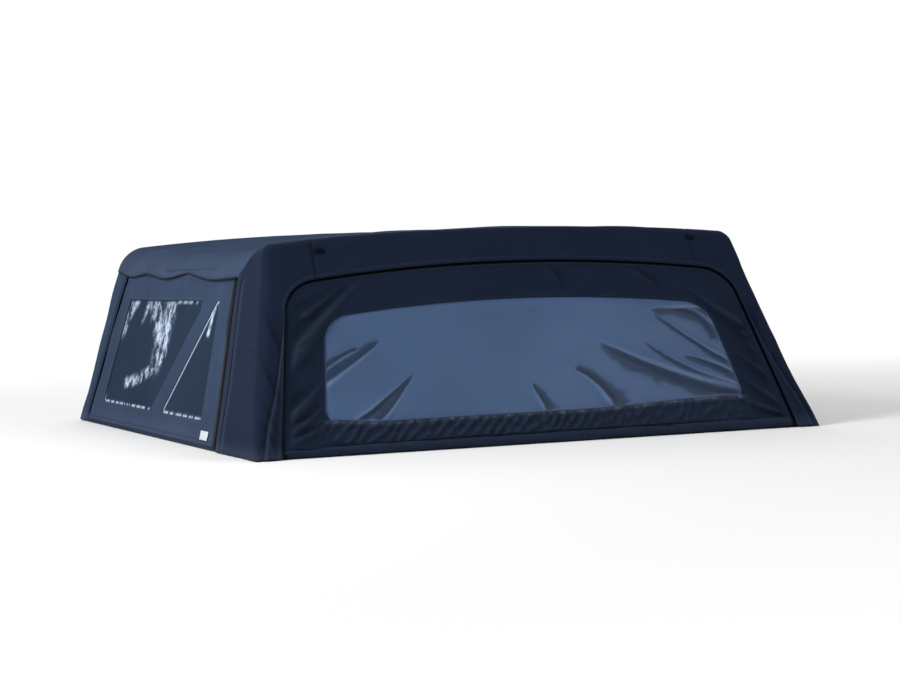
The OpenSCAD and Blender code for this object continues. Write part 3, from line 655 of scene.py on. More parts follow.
def toothed(name, colour, pitch=0.004):
    """Zip chain: teeth across the chain, from the piece's own flat map."""
    look = Look(name)
    x, _ = look.parts(look.place("UV"))
    tooth = (x * (2 * np.pi / pitch)).math("SINE")
    base = look.mix(look.step(tooth, -0.4, 0.8), tint(colour, 0.5), tint(colour, 1.8))
    return look.surface(Base_Color=base, Roughness=0.55 + tooth * 0.06, Normal=look.bump(tooth, 0.8, 0.0012),
                        Specular_IOR_Level=0.08)


# Finishes of the new pieces: a material and its slot
SIDE_CLOTH = woven("canvas_side", srgb(52, 64, 85), sheen=0.015, shine=0.0), "fabric_side"
# The rear pieces use the sides' canvas in a darker colour: painted shade of the rear faces
SHADED_REAR_CLOTH = woven("canvas_rear_shaded", srgb(22, 31, 48)), "fabric_rear"
# A real braid, made dark so that it also draws the shadow line under the flap's hem: partly painted shade
BINDING = woven("binding", srgb(19, 24, 37), pitch=0.0024, rough=0.70), "fabric_side"
WEBBING = woven("webbing_weave", srgb(9, 11, 17), pitch=0.003, rough=0.66), "webbing"
THREAD = moulded("thread", srgb(46, 55, 76), 0.6)
TAG = woven("tag_cloth", srgb(196, 202, 212), pitch=0.0012), "fabric_side"
# Each film: its colour, the painted shade of its creases, the colour of its painted highlights and reflection,
# alpha, roughness, level
REAR_FILM = film("vinyl_rear", srgb(68, 89, 122), srgb(20, 29, 44), srgb(118, 144, 180), 0.93, 0.16, 0.08)
SIDE_FILM = film("vinyl_side", srgb(39, 50, 67), srgb(22, 28, 38), srgb(186, 202, 226), 0.985, 0.12, 0.0)
FRONT_FILM = film("vinyl_front", srgb(58, 76, 104), srgb(34, 42, 56), srgb(120, 140, 170), 0.92, 0.14, 0.25)
ZIP = toothed("zip_chain", srgb(6, 8, 14)), "zip_tape"

# Materials of the solids that keep their shape, by how the node's name starts
SOLID_LOOKS = {"rail": painted("rail_black", srgb(28, 31, 38), 0.42),
               "corner_cap": moulded("cap_black", srgb(19, 21, 26)),
               ("bow", "rear_arm", "pivot_plate", "rear_bar"): painted("tube_black", srgb(20, 22, 28))}
for name, node in frame["nodes"].items():
    for start, look in SOLID_LOOKS.items():
        if name.startswith(start):
            node.data.materials.clear()
            node.data.materials.append(look)


# Roof

FAN = (0.60, 0.45)
BAND_ROWS, FLAP_COLS = 21, 40


def seam_y(angle):
    """y of the roof's rear seam, by the angle round the shoulder: it runs back as it climbs, to the edge."""
    return np.maximum(FLAP_Y - 0.00462 * np.clip(np.degrees(angle) - 15.0, 0, None), ROOF_REAR_Y)


def hem_angle(y):
    """The angle at which the ray round the shoulder meets the flap's hem."""
    z = hem_z(y)
    x = to_skin(stack(0.55, y, z), np.array((1.0, 0, 0)))[..., 0]
    return np.arctan2(z - FAN[1], x - FAN[0])


def roof_rays(y, share, x):
    """Rays that cut the roof: a fan round each shoulder, then straight up."""
    low = hem_angle(y)
    angle = low + (np.pi / 2 - low) * share
    return stack(np.abs(x), y, FAN[1]), stack(np.cos(angle), 0, np.sin(angle)), angle


def roof():
    """Rows run from the front to the rear seam, columns from one hem over the crown to the other. Before them
    come the rows of the front band, wrapped from the roof down the front face."""
    rise = np.linspace(0, 1, FLAP_COLS)
    share = np.concatenate((rise, np.ones(88), rise[::-1]))
    x = np.concatenate((np.full(FLAP_COLS, FAN[0]), np.linspace(FAN[0], -FAN[0], 90)[1:-1],
                        np.full(FLAP_COLS, -FAN[0])))
    sign = np.where(np.arange(len(x)) < len(x) / 2, 1.0, -1.0)
    u = np.linspace(0, 1, 150)[:, None]
    y = 0.9 - 1.6 * u + 0 * share
    for _ in range(4):
        origin, heading, angle = roof_rays(y, share, x)
        front = HALF_L - to_skin(origin, heading)[..., 2] * np.tan(FRONT) - 0.035
        y = front + (seam_y(angle) - 0.006 - front) * u
    origin, heading, angle = roof_rays(y, share, x)
    p = to_skin(origin, heading)
    over_hem = p[..., 2] - hem_z(y)
    # Paler just over the flap's hem, fading out 10 cm above it: painted sheen on the flap's outward flare
    pale = 0.25 * fall(0.02, 0.10, over_hem) * (share < 1)
    flare = 0.0026 * (fall(0.0, 0.050, over_hem) * (share < 1)) ** 2
    wave = (ripples(p[..., 0], p[..., 1], 0.30, 3) * 0.0014
            + ripples(p[..., 0] + p[..., 2], p[..., 1], 0.09, 4) * 0.0004)
    p = p + heading * (flare + wave - 0.002 * smooth(0.985, 1.0, u))[..., None]
    p[..., 0] *= sign
    band_foot = front_pt(np.where(share < 1, sign * (0.700 - 0.10 * share), x), 0.531)
    shares = 1 - np.linspace(1, 0, BAND_ROWS + 1)[:-1] ** 1.3
    band = wrap(band_foot, p[0], OUT_FRONT, heading[0] * stack(sign, 1.0, 1.0), shares)
    p, pale = np.concatenate((band, p)), np.concatenate((np.repeat(pale[:1], BAND_ROWS, 0), pale))
    uv = stack(run(p[60]), run(p[:, p.shape[1] // 2])[:, None])
    return sheet("roof_sheet", p, SIDE_CLOTH, ("roof",), uv, THICK, dust=pale), p


roof_sheet, roof_points = roof()


def flap_binding():
    """A narrow braid folded over the flap's hem, on both sides, and over the front band's lower edge."""
    paths = [roof_points[BAND_ROWS + 1:-1, column] for column in (0, -1)] + [roof_points[0]]
    braids = [tube(path, BRAID_R, 8) for path in paths]
    return piece("flap_binding", joined_points(braids), tube_faces(*braids), BINDING, closed=True)


hem_braid = flap_binding()


def flap_thread():
    """Two rows of stitching along each flap's hem and along the front band's lower edge."""
    flap, band = roof_points[BAND_ROWS + 1:-1].transpose(1, 0, 2), roof_points[:BAND_ROWS + 20]
    n = normals(flap)
    edges = (flap, n), (flap[::-1], n[::-1]), (band, normals(band))
    seams = [seam(p, away, out) for p, out in edges for away in HEM_ROWS]
    return stitches("flap_thread", seams, "fabric_side")


hem_thread = flap_thread()


# Rear columns and header

ARCH_RIGHT = half_arch(**ARCH, foot=0.003, counts=(70, 50, 120))
ARCH_SPLIT = int(np.argmax(ARCH_RIGHT[:, 0] < SEAM_X))


def gap_rear(s):
    """y of the side panel's rear end, straight up to the flap's rear end."""
    return PANEL_REAR_Y + (FLAP_Y - PANEL_REAR_Y) * (s * COS_S) / FLAP_Z


def gap_front(s):
    """y of the side panel's front end, straight and leaning back."""
    return PANEL_FRONT_Y - 0.190 * (s * COS_S) / 0.490


def outer_edge(z, angle):
    """The column's outer edge: up the side panel's rear edge, then over the shoulder along the roof's seam."""
    low = stack(HALF_W - z * np.tan(SIDE), gap_rear(z / COS_S), z)
    heading = stack(np.cos(angle), 0, np.sin(angle))
    high = to_skin(stack(FAN[0], seam_y(angle), FAN[1]), heading)
    return np.concatenate((low, high)), np.concatenate((np.broadcast_to(OUT_SIDE, low.shape), heading))


def bead(away):
    """The bound edge beside the zip."""
    return 0.0032 * bell(away, 0.005, 0.005)


FLAP_W, FLAP_TOP, FLAP_RISE = 0.046, 0.44, 0.0075


def rain_flap(away, w):
    """The loose lower end of the zip's flap, w wide: it stands off more the farther it is from the zip."""
    rise = FLAP_RISE * np.sqrt(np.clip(w / FLAP_W, 0, 1))
    return rise * np.clip(away / np.maximum(w, 1e-4), 0, 1) ** 0.7 * fall(w, w + 0.0035, away)


# Folds here and below, in millimetres: start, middle, end, width and height
COLUMN_FOLDS = [(800, 12, 812, 50, 832, 110, 10, 3.4), (786, 60, 806, 110, 824, 180, 9, 2.8),
                (770, 150, 790, 215, 800, 300, 12, 2.6), (745, 290, 760, 350, 764, 420, 12, 2.2)]


def column(name):
    """A rear column, wrapped from the zip's arch to the side panel and the roof. It has a bound edge, a rain
    flap that widens down the arch, a doubled strip at the side and a few folds."""
    s = ARCH_RIGHT[:ARCH_SPLIT, 1]
    straight = 70
    z = np.linspace(0.002, FLAP_Z, straight)
    angle = np.linspace(np.arctan2(FLAP_Z - FAN[1], 0.749 - FAN[0]), np.pi / 2, len(s) - straight + 1)[1:]
    # The last point of the edge lies over the header's seam
    b, out_b = outer_edge(z, angle)
    b[-1, 0] = SEAM_X
    a = rear_pt(ARCH_RIGHT[:ARCH_SPLIT, 0], s)
    p = wrap(a, b, level_at_foot(OUT_REAR, a[:, 2]), level_at_foot(out_b, b[:, 2]),
             spaced((0.30, 50), (0.80, 30), (1, 30)))
    n = normals(p)
    away, outer = from_row(p, 0), from_row(p, -1)
    up = smooth(0.470, 0.500, p[..., 2])
    low = 1 - up
    free = smooth(0.010, 0.030, away) * smooth(0.05, 0.09, outer)
    w = FLAP_W * np.clip(1 - s / FLAP_TOP, 0, 1)
    creased, dark, _ = folds(p[..., 0], p[..., 2], COLUMN_FOLDS)
    soft = ripples(p[..., 0] + p[..., 1], p[..., 2] * 0.6, 0.20, 11 + (name == "left")) * 0.0016
    curl = -0.0035 * fall(0.0, 0.007, outer) * low + 0.0012 * up
    doubled = 0.0014 * fall(0.046, 0.049, outer) * low
    lift = bead(away) + rain_flap(away, w) + curl + doubled + creased * free + soft * off_edges(away, outer)
    p = p + n * lift[..., None]
    p[..., 2] = np.maximum(p[..., 2], 0.001)
    flap = smooth(0.004, 0.014, w)
    # Painted highlight along the rain flap's free edge
    rim = bell(away, w, 0.0055) * flap * (0.7 + 0.3 * ripples(p[..., 2], 0 * away, 0.06, 14))
    # A paler band beside the doubled strip, painted light, and the doubled strip itself a little paler
    strip = 0.22 * bell(outer, 0.064, 0.014) + 0.12 * (outer < 0.044)
    # Painted shadow beside the rain flap's edge and at the doubled strip's step, and painted shade in the
    # folds' troughs
    shade = np.maximum(0.8 * bell(away, w + 0.007, 0.005) * flap, bell(outer, 0.0480, 0.0042) * low)
    uv = stack(run(p[:, 40])[:, None], np.linspace(0, 0.85, len(s)))
    return sheet(f"column_{name}", mirror(p, name), SHADED_REAR_CLOTH, (f"rear_corner_{name}",), uv, THICK,
                 dust=0.25 * fall(0.0, 0.05, p[..., 2]) + 0.27 * rim + strip * low,
                 shade=np.maximum(shade, 0.6 * dark * free)), p


column_right, column_points = column("right")
column_left = column("left")[0]


def column_thread(name):
    """Stitching along the arch, beside its bound edge, and down the doubled strip at the side."""
    p = mirror(column_points, name)
    n = normals(p)
    strip = [seam(p[::-1, :70], away, n[::-1, :70]) for away in STRIP_ROWS]
    return stitches(f"column_thread_{name}", [seam(p, ARCH_ROW, n), *strip], "fabric_rear")


column_threads = [column_thread(name) for name in SIDES]


def header():
    """The band over the rear curtain, wrapped from the zip's arch to the roof, puckered at its short seams."""
    lap = SEAM_X + 0.005
    end = (lap, np.interp(-lap, -ARCH_RIGHT[:, 0], ARCH_RIGHT[:, 1]))
    inner = both_halves(np.concatenate(([end], ARCH_RIGHT[ARCH_RIGHT[:, 0] < lap])))
    b = to_skin(stack(inner[:, 0], ROOF_REAR_Y, 0.45), UP)
    p = wrap(rear_pt(*inner.T), b, OUT_REAR, UP, spaced((0.2, 16), (0.9, 30), (1, 12)))
    n = normals(p)
    x, z = np.abs(p[..., 0]), p[..., 2]
    away, outer = from_row(p, 0), from_row(p, -1)
    under = smooth(-0.004, 0.001, x - SEAM_X)
    soft = ripples(p[..., 0], z * 2, 0.35, 21) * 0.0016
    pucker = bell(x, 0.50, 0.06) * np.sin((z + x * 0.5) * 110) * 0.0012
    lift = bead(away) + (soft + pucker) * off_edges(away, outer)
    p = p + n * (lift - 0.0024 * under + 0.0012 * fall(0.0, 0.03, outer))[..., None]
    return sheet("header_band", p, SHADED_REAR_CLOTH, ("rear_header",), stack(p[..., 0], away), THICK), p


header_band, header_points = header()
header_thread = stitches("header_thread", [seam(header_points, ARCH_ROW)], "fabric_rear")


# Front corners

FRONT_W, FRONT_LEAN = HALF_W - 0.080, np.tan(SIDE) * np.cos(FRONT)


def front_corner(name):
    """A front corner, wrapped from the side panel's end to the front curtain, its two edges curled in."""
    z = np.linspace(0.004, 0.512, 60)
    s = z / np.cos(FRONT)
    a = stack(HALF_W - z * np.tan(SIDE), gap_front(z / COS_S), z)
    b = front_pt(FRONT_W - s * FRONT_LEAN, s)
    p = wrap(a, b, level_at_foot(OUT_SIDE, z), level_at_foot(OUT_FRONT, z),
             spaced((0.06, 6), (0.94, 44), (1, 6)))
    n = normals(p)
    edge = np.minimum(from_row(p, 0), from_row(p, -1))
    soft = ripples(p[..., 0] + p[..., 1], p[..., 2], 0.2, 31 + (name == "left")) * 0.0014
    p = p + n * (-0.0035 * fall(0, 0.007, edge) + soft * smooth(0, 0.02, edge))[..., None]
    uv = stack(np.linspace(0, 0.25, len(p))[:, None], z)
    # Darker towards its edge at the side panel: painted shadow
    return sheet(f"front_wrap_{name}", mirror(p, name), SIDE_CLOTH, (f"front_corner_{name}",), uv, THICK,
                 dust=0.5 * fall(0.0, 0.06, p[..., 2]), shade=0.55 * fall(0.0, 0.045, from_row(p, 0)))


front_wraps = [front_corner(name) for name in SIDES]


# Side panels and their windows

BAND_TOP, BAND_FOOT = (-0.342, 0.424 / COS_S), (0.075, 0.078 / COS_S)
PANEL_FOOT, PANEL_TOP = 0.004, 0.520 / COS_S
REAR_LAP, FRONT_LAP = 0.010, 0.024

# Corners and radii of the two side windows, and the curves along which a reflection is painted on the vinyl:
# start, middle, end and half width in millimetres, and a strength
WINDOWS = {
    "large": ([(0.783, 0.081), (0.664, 0.434), (-0.272, 0.434), (0.143, 0.081)], 0.014,
              [(558, 440, 642, 393, 690, 335, 30, 1.0), (330, 440, 250, 375, 200, 300, 55, 1.0),
               (130, 440, 120, 350, 180, 262, 60, 1.0), (96, 275, 237, 205, 530, 156, 18, 1.2),
               (400, 440, 420, 405, 440, 370, 20, 0.7)]),
    "small": ([(0.006, 0.081), (-0.397, 0.434), (-0.425, 0.434), (-0.462, 0.081)],
              (0.010, 0.006, 0.006, 0.014), [(-385, 430, -372, 375, -366, 335, 14, 1.3)])}


def band_y(s):
    """y of the middle of the slanted band between the two windows."""
    return BAND_TOP[0] + (BAND_FOOT[0] - BAND_TOP[0]) * (BAND_TOP[1] - s) / (BAND_TOP[1] - BAND_FOOT[1])


def over_legs(y, s):
    """1 where the panel is stretched over the legs of the second and third bows, to 0 beside them."""
    t = (s * COS_S - 0.04) / 0.46
    return bell(y, 0.235 + 0.251 * t, 0.026) + bell(y, 0.165 - 0.179 * t, 0.026)


def panel_depth(y, s):
    """How far the panel's face lies behind the side plane: a groove for each end's zip, and slack between."""
    rear, front = y - gap_rear(s), gap_front(s) - y
    groove = 0.0030 * fall(0.052, 0.056, rear) + 0.0115 * fall(0.016, 0.021, front) * smooth(0.026, 0.046, s)
    roll = -0.0016 * (bell(rear, 0.061, 0.005) + bell(front, 0.026, 0.005))
    slack = 0.0008 + 0.0024 * smooth(0.455, 0.482, s * COS_S)
    slack = slack * (1 - np.clip(over_legs(y, s), 0, 1)) * smooth(0.026, 0.046, s)
    return 0.0034 + groove + slack + roll - 0.0008 * fall(0.022, 0.027, s)


PANEL_FOLDS = [(-200, 60, -190, 30, -180, 12, 12, 2.4), (-100, 70, -90, 40, -85, 12, 10, 1.8),
               (-330, 70, -340, 40, -360, 12, 12, 2.0), (50, 500, 0, 470, -20, 440, 12, 2.2),
               (-60, 510, -110, 470, -140, 430, 12, 2.0), (-460, 520, -470, 450, -500, 300, 16, 2.2),
               (-560, 400, -540, 250, -570, 80, 18, 2.2), (600, 510, 680, 470, 720, 440, 14, 2.0)]


def side_panel(name):
    """A side panel: a flat band round each of its two windows, with a stitched welt at the glass, grooves at
    its ends, and folds. The two bands meet along the slanted line between the windows."""
    shares = spaced((0.30, 16), (0.88, 16), (1, 8))
    foot, top = PANEL_FOOT, PANEL_TOP
    slant = [(band_y(top), top), (band_y(foot), foot)]
    front = [(gap_front(foot) + FRONT_LAP, foot), (gap_front(top) + FRONT_LAP, top)]
    rear = [(gap_rear(top) - REAR_LAP, top), (gap_rear(foot) - REAR_LAP, foot)]
    holes = [corner_loop(corners, radii, 60) for corners, radii, _ in WINDOWS.values()]
    bands = [between(corner_loop(outline, 0, 60), hole, shares)
             for outline, hole in zip((front + slant, slant[::-1] + rear), holes)]
    flat = joined_points(bands)
    y, s = flat.T
    near = np.min([np.abs(loop_gap(flat, hole)[0]) for hole in holes], axis=0)
    welt = 0.0012 * fall(0.008, 0.012, near)
    soft = ripples(y, s, 0.24, 41 + (name == "left")) * 0.0018
    soft = soft * smooth(0.0, 0.05, near + 0.01) * smooth(0.01, 0.08, s)
    p = side_pt(y, s, panel_depth(y, s) - folds(y, s, PANEL_FOLDS)[0] - welt - soft + 0.001)
    # Painted shade in the grooves at the panel's two ends and along its foot, with a fainter painted dark line
    # just above the foot
    shade = np.maximum(fall(0.052, 0.056, y - gap_rear(s)), fall(0.018, 0.022, gap_front(s) - y))
    shade = np.maximum(shade, fall(0.013, 0.017, s) + 0.5 * bell(s, 0.026, 0.003))
    panel = piece(f"panel_{name}", mirror(p, name), grid_faces(*bands, wrapped=True), SIDE_CLOTH,
                  (f"side_panel_{name}",), flat, THIN, merge=1e-4,
                  dust=0.22 * fall(0.03, 0.08, s) + 0.14 * bell(near, 0.004, 0.004), shade=shade)
    grids = p.reshape(2, len(shares), -1, 3)
    seams = [seam(grid[::-1], away) for grid in grids for away in EDGE_ROWS]
    seams = [(mirror(path, name), mirror(out, name)) for path, out in seams]
    return panel, stitches(f"panel_thread_{name}", seams, "fabric_side")


panels = [side_panel(name) for name in SIDES]


def chain(across, half, rise):
    """A zip's chain, round over the middle of its tape: rise sqrt(1 - d d), with d = across / half."""
    return rise * np.sqrt(np.clip(1 - (across / half) ** 2, 0, 1))


def side_zip(name):
    """The zips at a panel's two ends: each a tape in the groove along its gap, with a round chain on it."""
    tapes, maps = [], []
    # The rear tape is 51 mm wide, so that its black also draws the shade in the gap beside the column: partly
    # painted shade
    for gap, off, half, deep, foot in ((gap_rear, 0.0260, 0.0255, 0.0046, 0.008),
                                       (gap_front, -0.008, 0.0110, 0.0128, 0.040)):
        s, across = np.linspace(foot, 0.494, 120)[:, None], np.linspace(-half, half, 23)
        tapes.append(side_pt(gap(s) + off + across, s, deep - chain(across, 0.0034, 0.0026)))
        maps.append(stack(s, across))
    return piece(f"side_zip_{name}", mirror(joined_points(tapes), name), grid_faces(*tapes), ZIP,
                 uv=joined_points(maps), thick=0.0010)


side_zips = [side_zip(name) for name in SIDES]


def tag():
    """A small bare cloth tag, sewn on near the left panel's lower rear corner."""
    a, b = np.linspace(-1, 1, 25)[:, None], np.linspace(-1, 1, 11)
    flat = stack(a * 0.040, b * 0.0135)
    y, s = flat[..., 0] - 0.528, flat[..., 1] + 0.040
    sewn = 0.0007 * fall(0.0, 0.25, 1 - np.maximum(np.abs(a), np.abs(b)))
    p = side_pt(y, s, panel_depth(y, s) - 0.0030 - 0.0004 * np.sin(a * 4) + sewn)
    return sheet("tag_blank", mirror(p, "left"), TAG, uv=flat, thick=0.0006)


blank_tag = tag()


def reflection_share(y, s, rows):
    """Painted reflection at each point: strength exp(-d d d d), d its distance to a row's curve over the half
    width.
    """
    total = np.zeros(y.shape)
    for row in rows:
        path = curve(row, 24)
        gap = np.hypot(y[:, None] - path[:, 0], s[:, None] - path[:, 1]).min(1)
        total = np.maximum(total, row[7] * np.exp(-(gap / (row[6] / 1000)) ** 4))
    return total


def side_window(name, kind):
    """A pane that sags a little between its sewn edges. It has painted reflection along its curves, and
    painted highlights along its foot, the rear of its top and, on the small one, its slanted edge."""
    corners, radii, glints = WINDOWS[kind]
    outline = corner_loop(corners, radii, 30)
    grown = np.array(corners) + unit(np.array(corners) - outline.mean(0)) * PANE_LAP
    flat, faces = trimmed(corner_loop(grown, radii, 30), 0.006)
    y, s = flat.T
    inside = loop_gap(flat, outline)[0]
    seed = 51 + (name == "left")
    free = smooth(0.0, 0.05, inside)
    soft = (ripples(y, s, 0.11, seed) * 0.0012 + ripples(y, s, 0.30, seed + 5) * 0.0024) * free
    p = side_pt(y, s, SIDE_PANE_DEPTH - (soft + 0.001) * free)
    # Painted highlights along the window's edges: dashed along the foot and the top at the rear, and along the
    # small window's slanted edge
    dashes = smooth(-0.5, 0.3, ripples(y + s, 0 * y, 0.045, seed + 9))
    slant = np.exp(-((y - band_y(s)) / 0.12) ** 4) * (kind == "small")
    rim = np.maximum(slant, ((s < 0.12) | (s > 0.41) & (y < 0.05)) * dashes * 0.9)
    return piece(f"side_film_{kind}_{name}", mirror(p, name), faces, SIDE_FILM, (f"window_{kind}_{name}",),
                 flat, SIDE_PANE_THICK, glint=reflection_share(y, s, glints) * smooth(0, 0.01, inside),
                 edge=bell(inside, 0.004, 0.0035) * rim)


side_films = {(name, kind): side_window(name, kind) for name in SIDES for kind in WINDOWS}


# Rear curtain and its window

CURTAIN_FOOT = 0.030
FOOT_TUCK, FOOT_WELT = 0.036, GLASS_FOOT - 0.006
REAR_FOLDS = [(-715, 298, -590, 420, -468, 526, 20, 9.0), (-654, 423, -588, 465, -521, 516, 15, 6.5),
              (-730, 270, -685, 304, -640, 339, 15, 8.0), (-750, 117, -693, 164, -633, 220, 18, 9.0),
              (-777, 60, -708, 100, -637, 157, 14, 7.0), (-767, 45, -690, 72, -625, 106, 10, 5.0),
              (701, 334, 621, 396, 540, 480, 14, 6.0), (706, 298, 665, 330, 620, 370, 10, 4.5),
              (733, 228, 699, 275, 648, 320, 12, 5.5), (756, 151, 706, 200, 650, 250, 13, 6.0),
              (778, 60, 715, 105, 650, 170, 13, 6.0), (776, 42, 690, 70, 612, 106, 10, 5.0),
              (350, 550, 420, 500, 460, 460, 16, 2.2), (100, 560, 130, 520, 140, 480, 16, 1.2)]


def sway(u, s):
    """The window's foot isn't quite straight: it rises at both ends, more at the right, less with height."""
    rise = -0.009 + 0.017 * smooth(0.10, 0.60, u) + 0.010 * smooth(-0.48, -0.63, u)
    return rise * bell(s, GLASS_FOOT, 0.045)


def puckers(u, s):
    """Gathers of the band under the window: sloping ridges at an uneven pitch, more marked at the left."""
    phase = 2 * np.pi * (u - (s - 0.07) * 0.9) / 0.036 + 3.0 * ripples(u, 0 * u, 0.14, 61)
    pinch = 0.5 + 0.5 * np.sin(phase)
    height = (0.0055 - 0.0027 * smooth(-0.2, 0.4, u)) * (0.85 + 0.45 * ripples(u, s * 0.6, 0.07, 68))
    return (pinch ** 2 - 0.4) * height + 0.0015 * ripples(u * 1.5, s, 0.03, 62)


def curtain():
    """The rear curtain: a flat band from the zip's arch to its window, with a rolled edge and a groove beside
    the zip, folds at the corners, and at the foot a gathered band between a tuck and a welt."""
    across, counts = 210, (78, 44, 90)
    flat = between(arch_loop(ARCH, CURTAIN_FOOT, -0.008, across, counts), glass_loop(0.0, across, counts),
                   spaced((0.20, 18), (0.9, 28), (1, 7)))
    u, s = flat[..., 0], flat[..., 1]
    lean = np.radians(ARCH["lean"])
    sides = (ARCH["w"] - s * np.tan(lean) - np.abs(u)) * np.cos(lean)
    edge = np.where(s < 0.2, sides, loop_gap(flat, arch_loop(ARCH, 0.0, 0.0, 8))[0])
    groove = 0.0048 * fall(0.003, 0.008, edge) - 0.0016 * bell(edge, 0.012, 0.005)
    free = smooth(0.015, 0.04, edge)
    ends = fall(0.60, 0.70, np.abs(u))
    foot = fall(0.098, 0.112, s)
    band = foot * smooth(0.036, 0.048, s) * ends
    welt = 0.0024 * bell(s, FOOT_WELT, 0.0045) * ends
    tuck = -0.0040 * bell(s, FOOT_TUCK, 0.005) * (1 + 0.5 * ripples(u, 0 * u, 0.10, 63)) * ends
    billow = 0.0030 * foot * ripples(u, 0 * u, 0.30, 64)
    give = smooth(0.0, 0.03, from_row(flat, -1))
    soft = (ripples(u, s, 0.26, 65) * 0.0022 + ripples(u, s, 0.10, 66) * 0.0007) * free * give
    lift, dark, _ = folds(u, s, REAR_FOLDS)
    lift = np.maximum(1.8 * lift, -0.008 * give)
    gathers = puckers(u, s)
    proud = lift * free + gathers * band + welt + tuck + billow + soft
    p = rear_pt(u, s + sway(u, s), CURTAIN_DEPTH + groove - proud)
    # Dust along the welt under the window; painted highlights on the ridges of the folds and the gathers, and
    # the gathered band a little paler
    line = bell(s, FOOT_WELT, 0.006) * fall(0.62, 0.66, np.abs(u)) * (0.7 + 0.4 * ripples(u, 0 * u, 0.03, 67))
    dust = ((0.66 + 0.24 * smooth(-0.1, 0.4, u)) * line + 0.16 * np.clip(lift / 0.010, 0, 1) * free
            + (0.05 + 0.17 * np.clip(gathers / 0.0030, 0, 1)) * band)
    n = normals(p)
    seams = seam(p[::-1], EDGE_ROWS[0], n[::-1]), seam(p, CURTAIN_ROW, n)
    thread = stitches("curtain_thread", seams, "fabric_rear")
    # shade: painted shade in the folds' troughs and in the tuck at the foot
    return thread, sheet("curtain", p, SHADED_REAR_CLOTH, ("rear_curtain",), flat, THIN, wrapped=True, dust=dust,
                         shade=0.95 * dark * free + 0.6 * bell(s, FOOT_TUCK, 0.005) * ends)


curtain_thread, rear_curtain = curtain()

# Creases of the rear window, each from the edge where it starts
REAR_CREASES = [(-650, 200, -530, 274, -428, 348, 19, 7.5), (-640, 245, -555, 298, -505, 318, 10, 4.5),
                (-585, 100, -467, 168, -362, 243, -12, 6.0), (-495, 102, -425, 160, -350, 250, 12, 6.0),
                (645, 178, 560, 228, 465, 257, 13, 6.0), (650, 140, 470, 222, 350, 325, 9, 6.0),
                (645, 130, 415, 213, 182, 336, 34, 8.5), (655, 212, 547, 283, 385, 420, 11, 6.0),
                (620, 310, 560, 385, 470, 405, 20, 5.5), (600, 400, 500, 405, 390, 405, 18, 4.5),
                (222, 98, 176, 178, 112, 226, -22, 6.0), (8, 104, -6, 151, -24, 200, -16, 4.5)]
BLUNT = 0.22


def rear_film():
    """The rear window, creased from its edges inwards; it laps the curtain from behind."""
    flat, faces = trimmed(glass_loop(PANE_LAP, 60), 0.0046)
    u, s = flat.T
    inside = loop_gap(flat, glass_loop(0.0, 60))[0]
    lift, dark, light = folds(u, s, REAR_CREASES, BLUNT)
    soft = (ripples(u, s, 0.35, 71) * 0.0022 + ripples(u, s, 0.13, 72) * 0.0005) * smooth(0, 0.06, inside)
    p = rear_pt(u, s + sway(u, s), PANE_DEPTH - (lift * 0.8 + soft + 0.0015) * smooth(-0.002, 0.022, inside))
    within = smooth(0.0, 0.01, inside)
    # Painted shade in the creases' troughs and painted highlights on their edges
    return piece("rear_film", p, faces, REAR_FILM, ("rear_window",), flat, PANE_THICK,
                 crease=dark * 0.85 * within, edge=light * 0.36 * within)


rear_window = rear_film()


# Zip, hem and loops

def zip_strip():
    """The zip's tape and chain along the arch: a flat tape, with the chain as a round bar over its middle."""
    path = both_halves(half_arch(**ARCH, foot=0.016, inset=0.004, counts=(90, 40, 140)))
    ahead = unit(np.gradient(path, axis=0))
    inward = stack(-ahead[:, 1], ahead[:, 0])
    across = np.linspace(-0.012, 0.012, 17)
    flat = path[:, None] + inward[:, None] * across[:, None]
    p = rear_pt(flat[..., 0], flat[..., 1], 0.0072 - chain(across, 0.0032, 0.0022))
    return sheet("zip_chain", p, ZIP, ("rear_zip",), stack(run(path)[:, None], across), TAPE_THICK)


zip_chain = zip_strip()


def hem_roll():
    """The rolled hem: a tube whose middle and radius waver along the foot, with three twisted ridges."""
    half, sides, girth = 0.772, 20, 0.078
    x = np.linspace(-half, half, 260)
    r = 0.0130 + 0.0012 * smooth(-0.2, 0.7, x) + 0.0004 * ripples(x, 0 * x, 0.12, 83)
    z = np.maximum(0.0150 + 0.0014 * smooth(-0.2, 0.7, x) + 0.0005 * ripples(x, 0 * x, 0.28, 81), r + 0.0012)
    p = tube(stack(x, -1.0505 - (z - 0.0145) * 0.2, z), r, sides)
    t = np.linspace(0, 2 * np.pi, sides, endpoint=False)
    twist = 0.0009 * np.sin(3 * t + (x * 38 + 2 * ripples(x, 0 * x, 0.2, 84))[:, None])
    body = p[1:-1]
    body += unit(body - body.mean(1, keepdims=True)) * twist[..., None]
    uv = stack(np.concatenate((x[:1], x, x[-1:]))[:, None], np.linspace(0, girth, sides))
    return piece("hem_roll", p, tube_faces(p), SHADED_REAR_CLOTH, ("rear_hem",), uv, closed=True,
                 dust=np.full(p.shape[:2], 0.12))


hem = hem_roll()


def webbing_loop(name):
    """A short loop of webbing, sewn down at both ends and standing off in the middle."""
    a, b = np.linspace(-1, 1, 33)[:, None], np.linspace(-1, 1, 9)
    stand = 0.0045 * np.clip(1 - np.abs(a) ** 4, 0, 1) * (np.abs(a) < 0.8)
    crowned = 0.0012 + 0.0006 * np.cos(b * np.pi / 2)
    u, s = 0.583 + SIDES[name] * 0.010, 0.627 + SIDES[name] * 0.004
    p = rear_pt(u + a * 0.0150, s + b * 0.0066, -stand - crowned)
    uv = stack(a * 0.017, b * 0.008)
    return sheet(f"loop_{name}", mirror(p, name), WEBBING, (f"strap_{name}",), uv, TAPE_THICK)


loops = [webbing_loop(name) for name in SIDES]


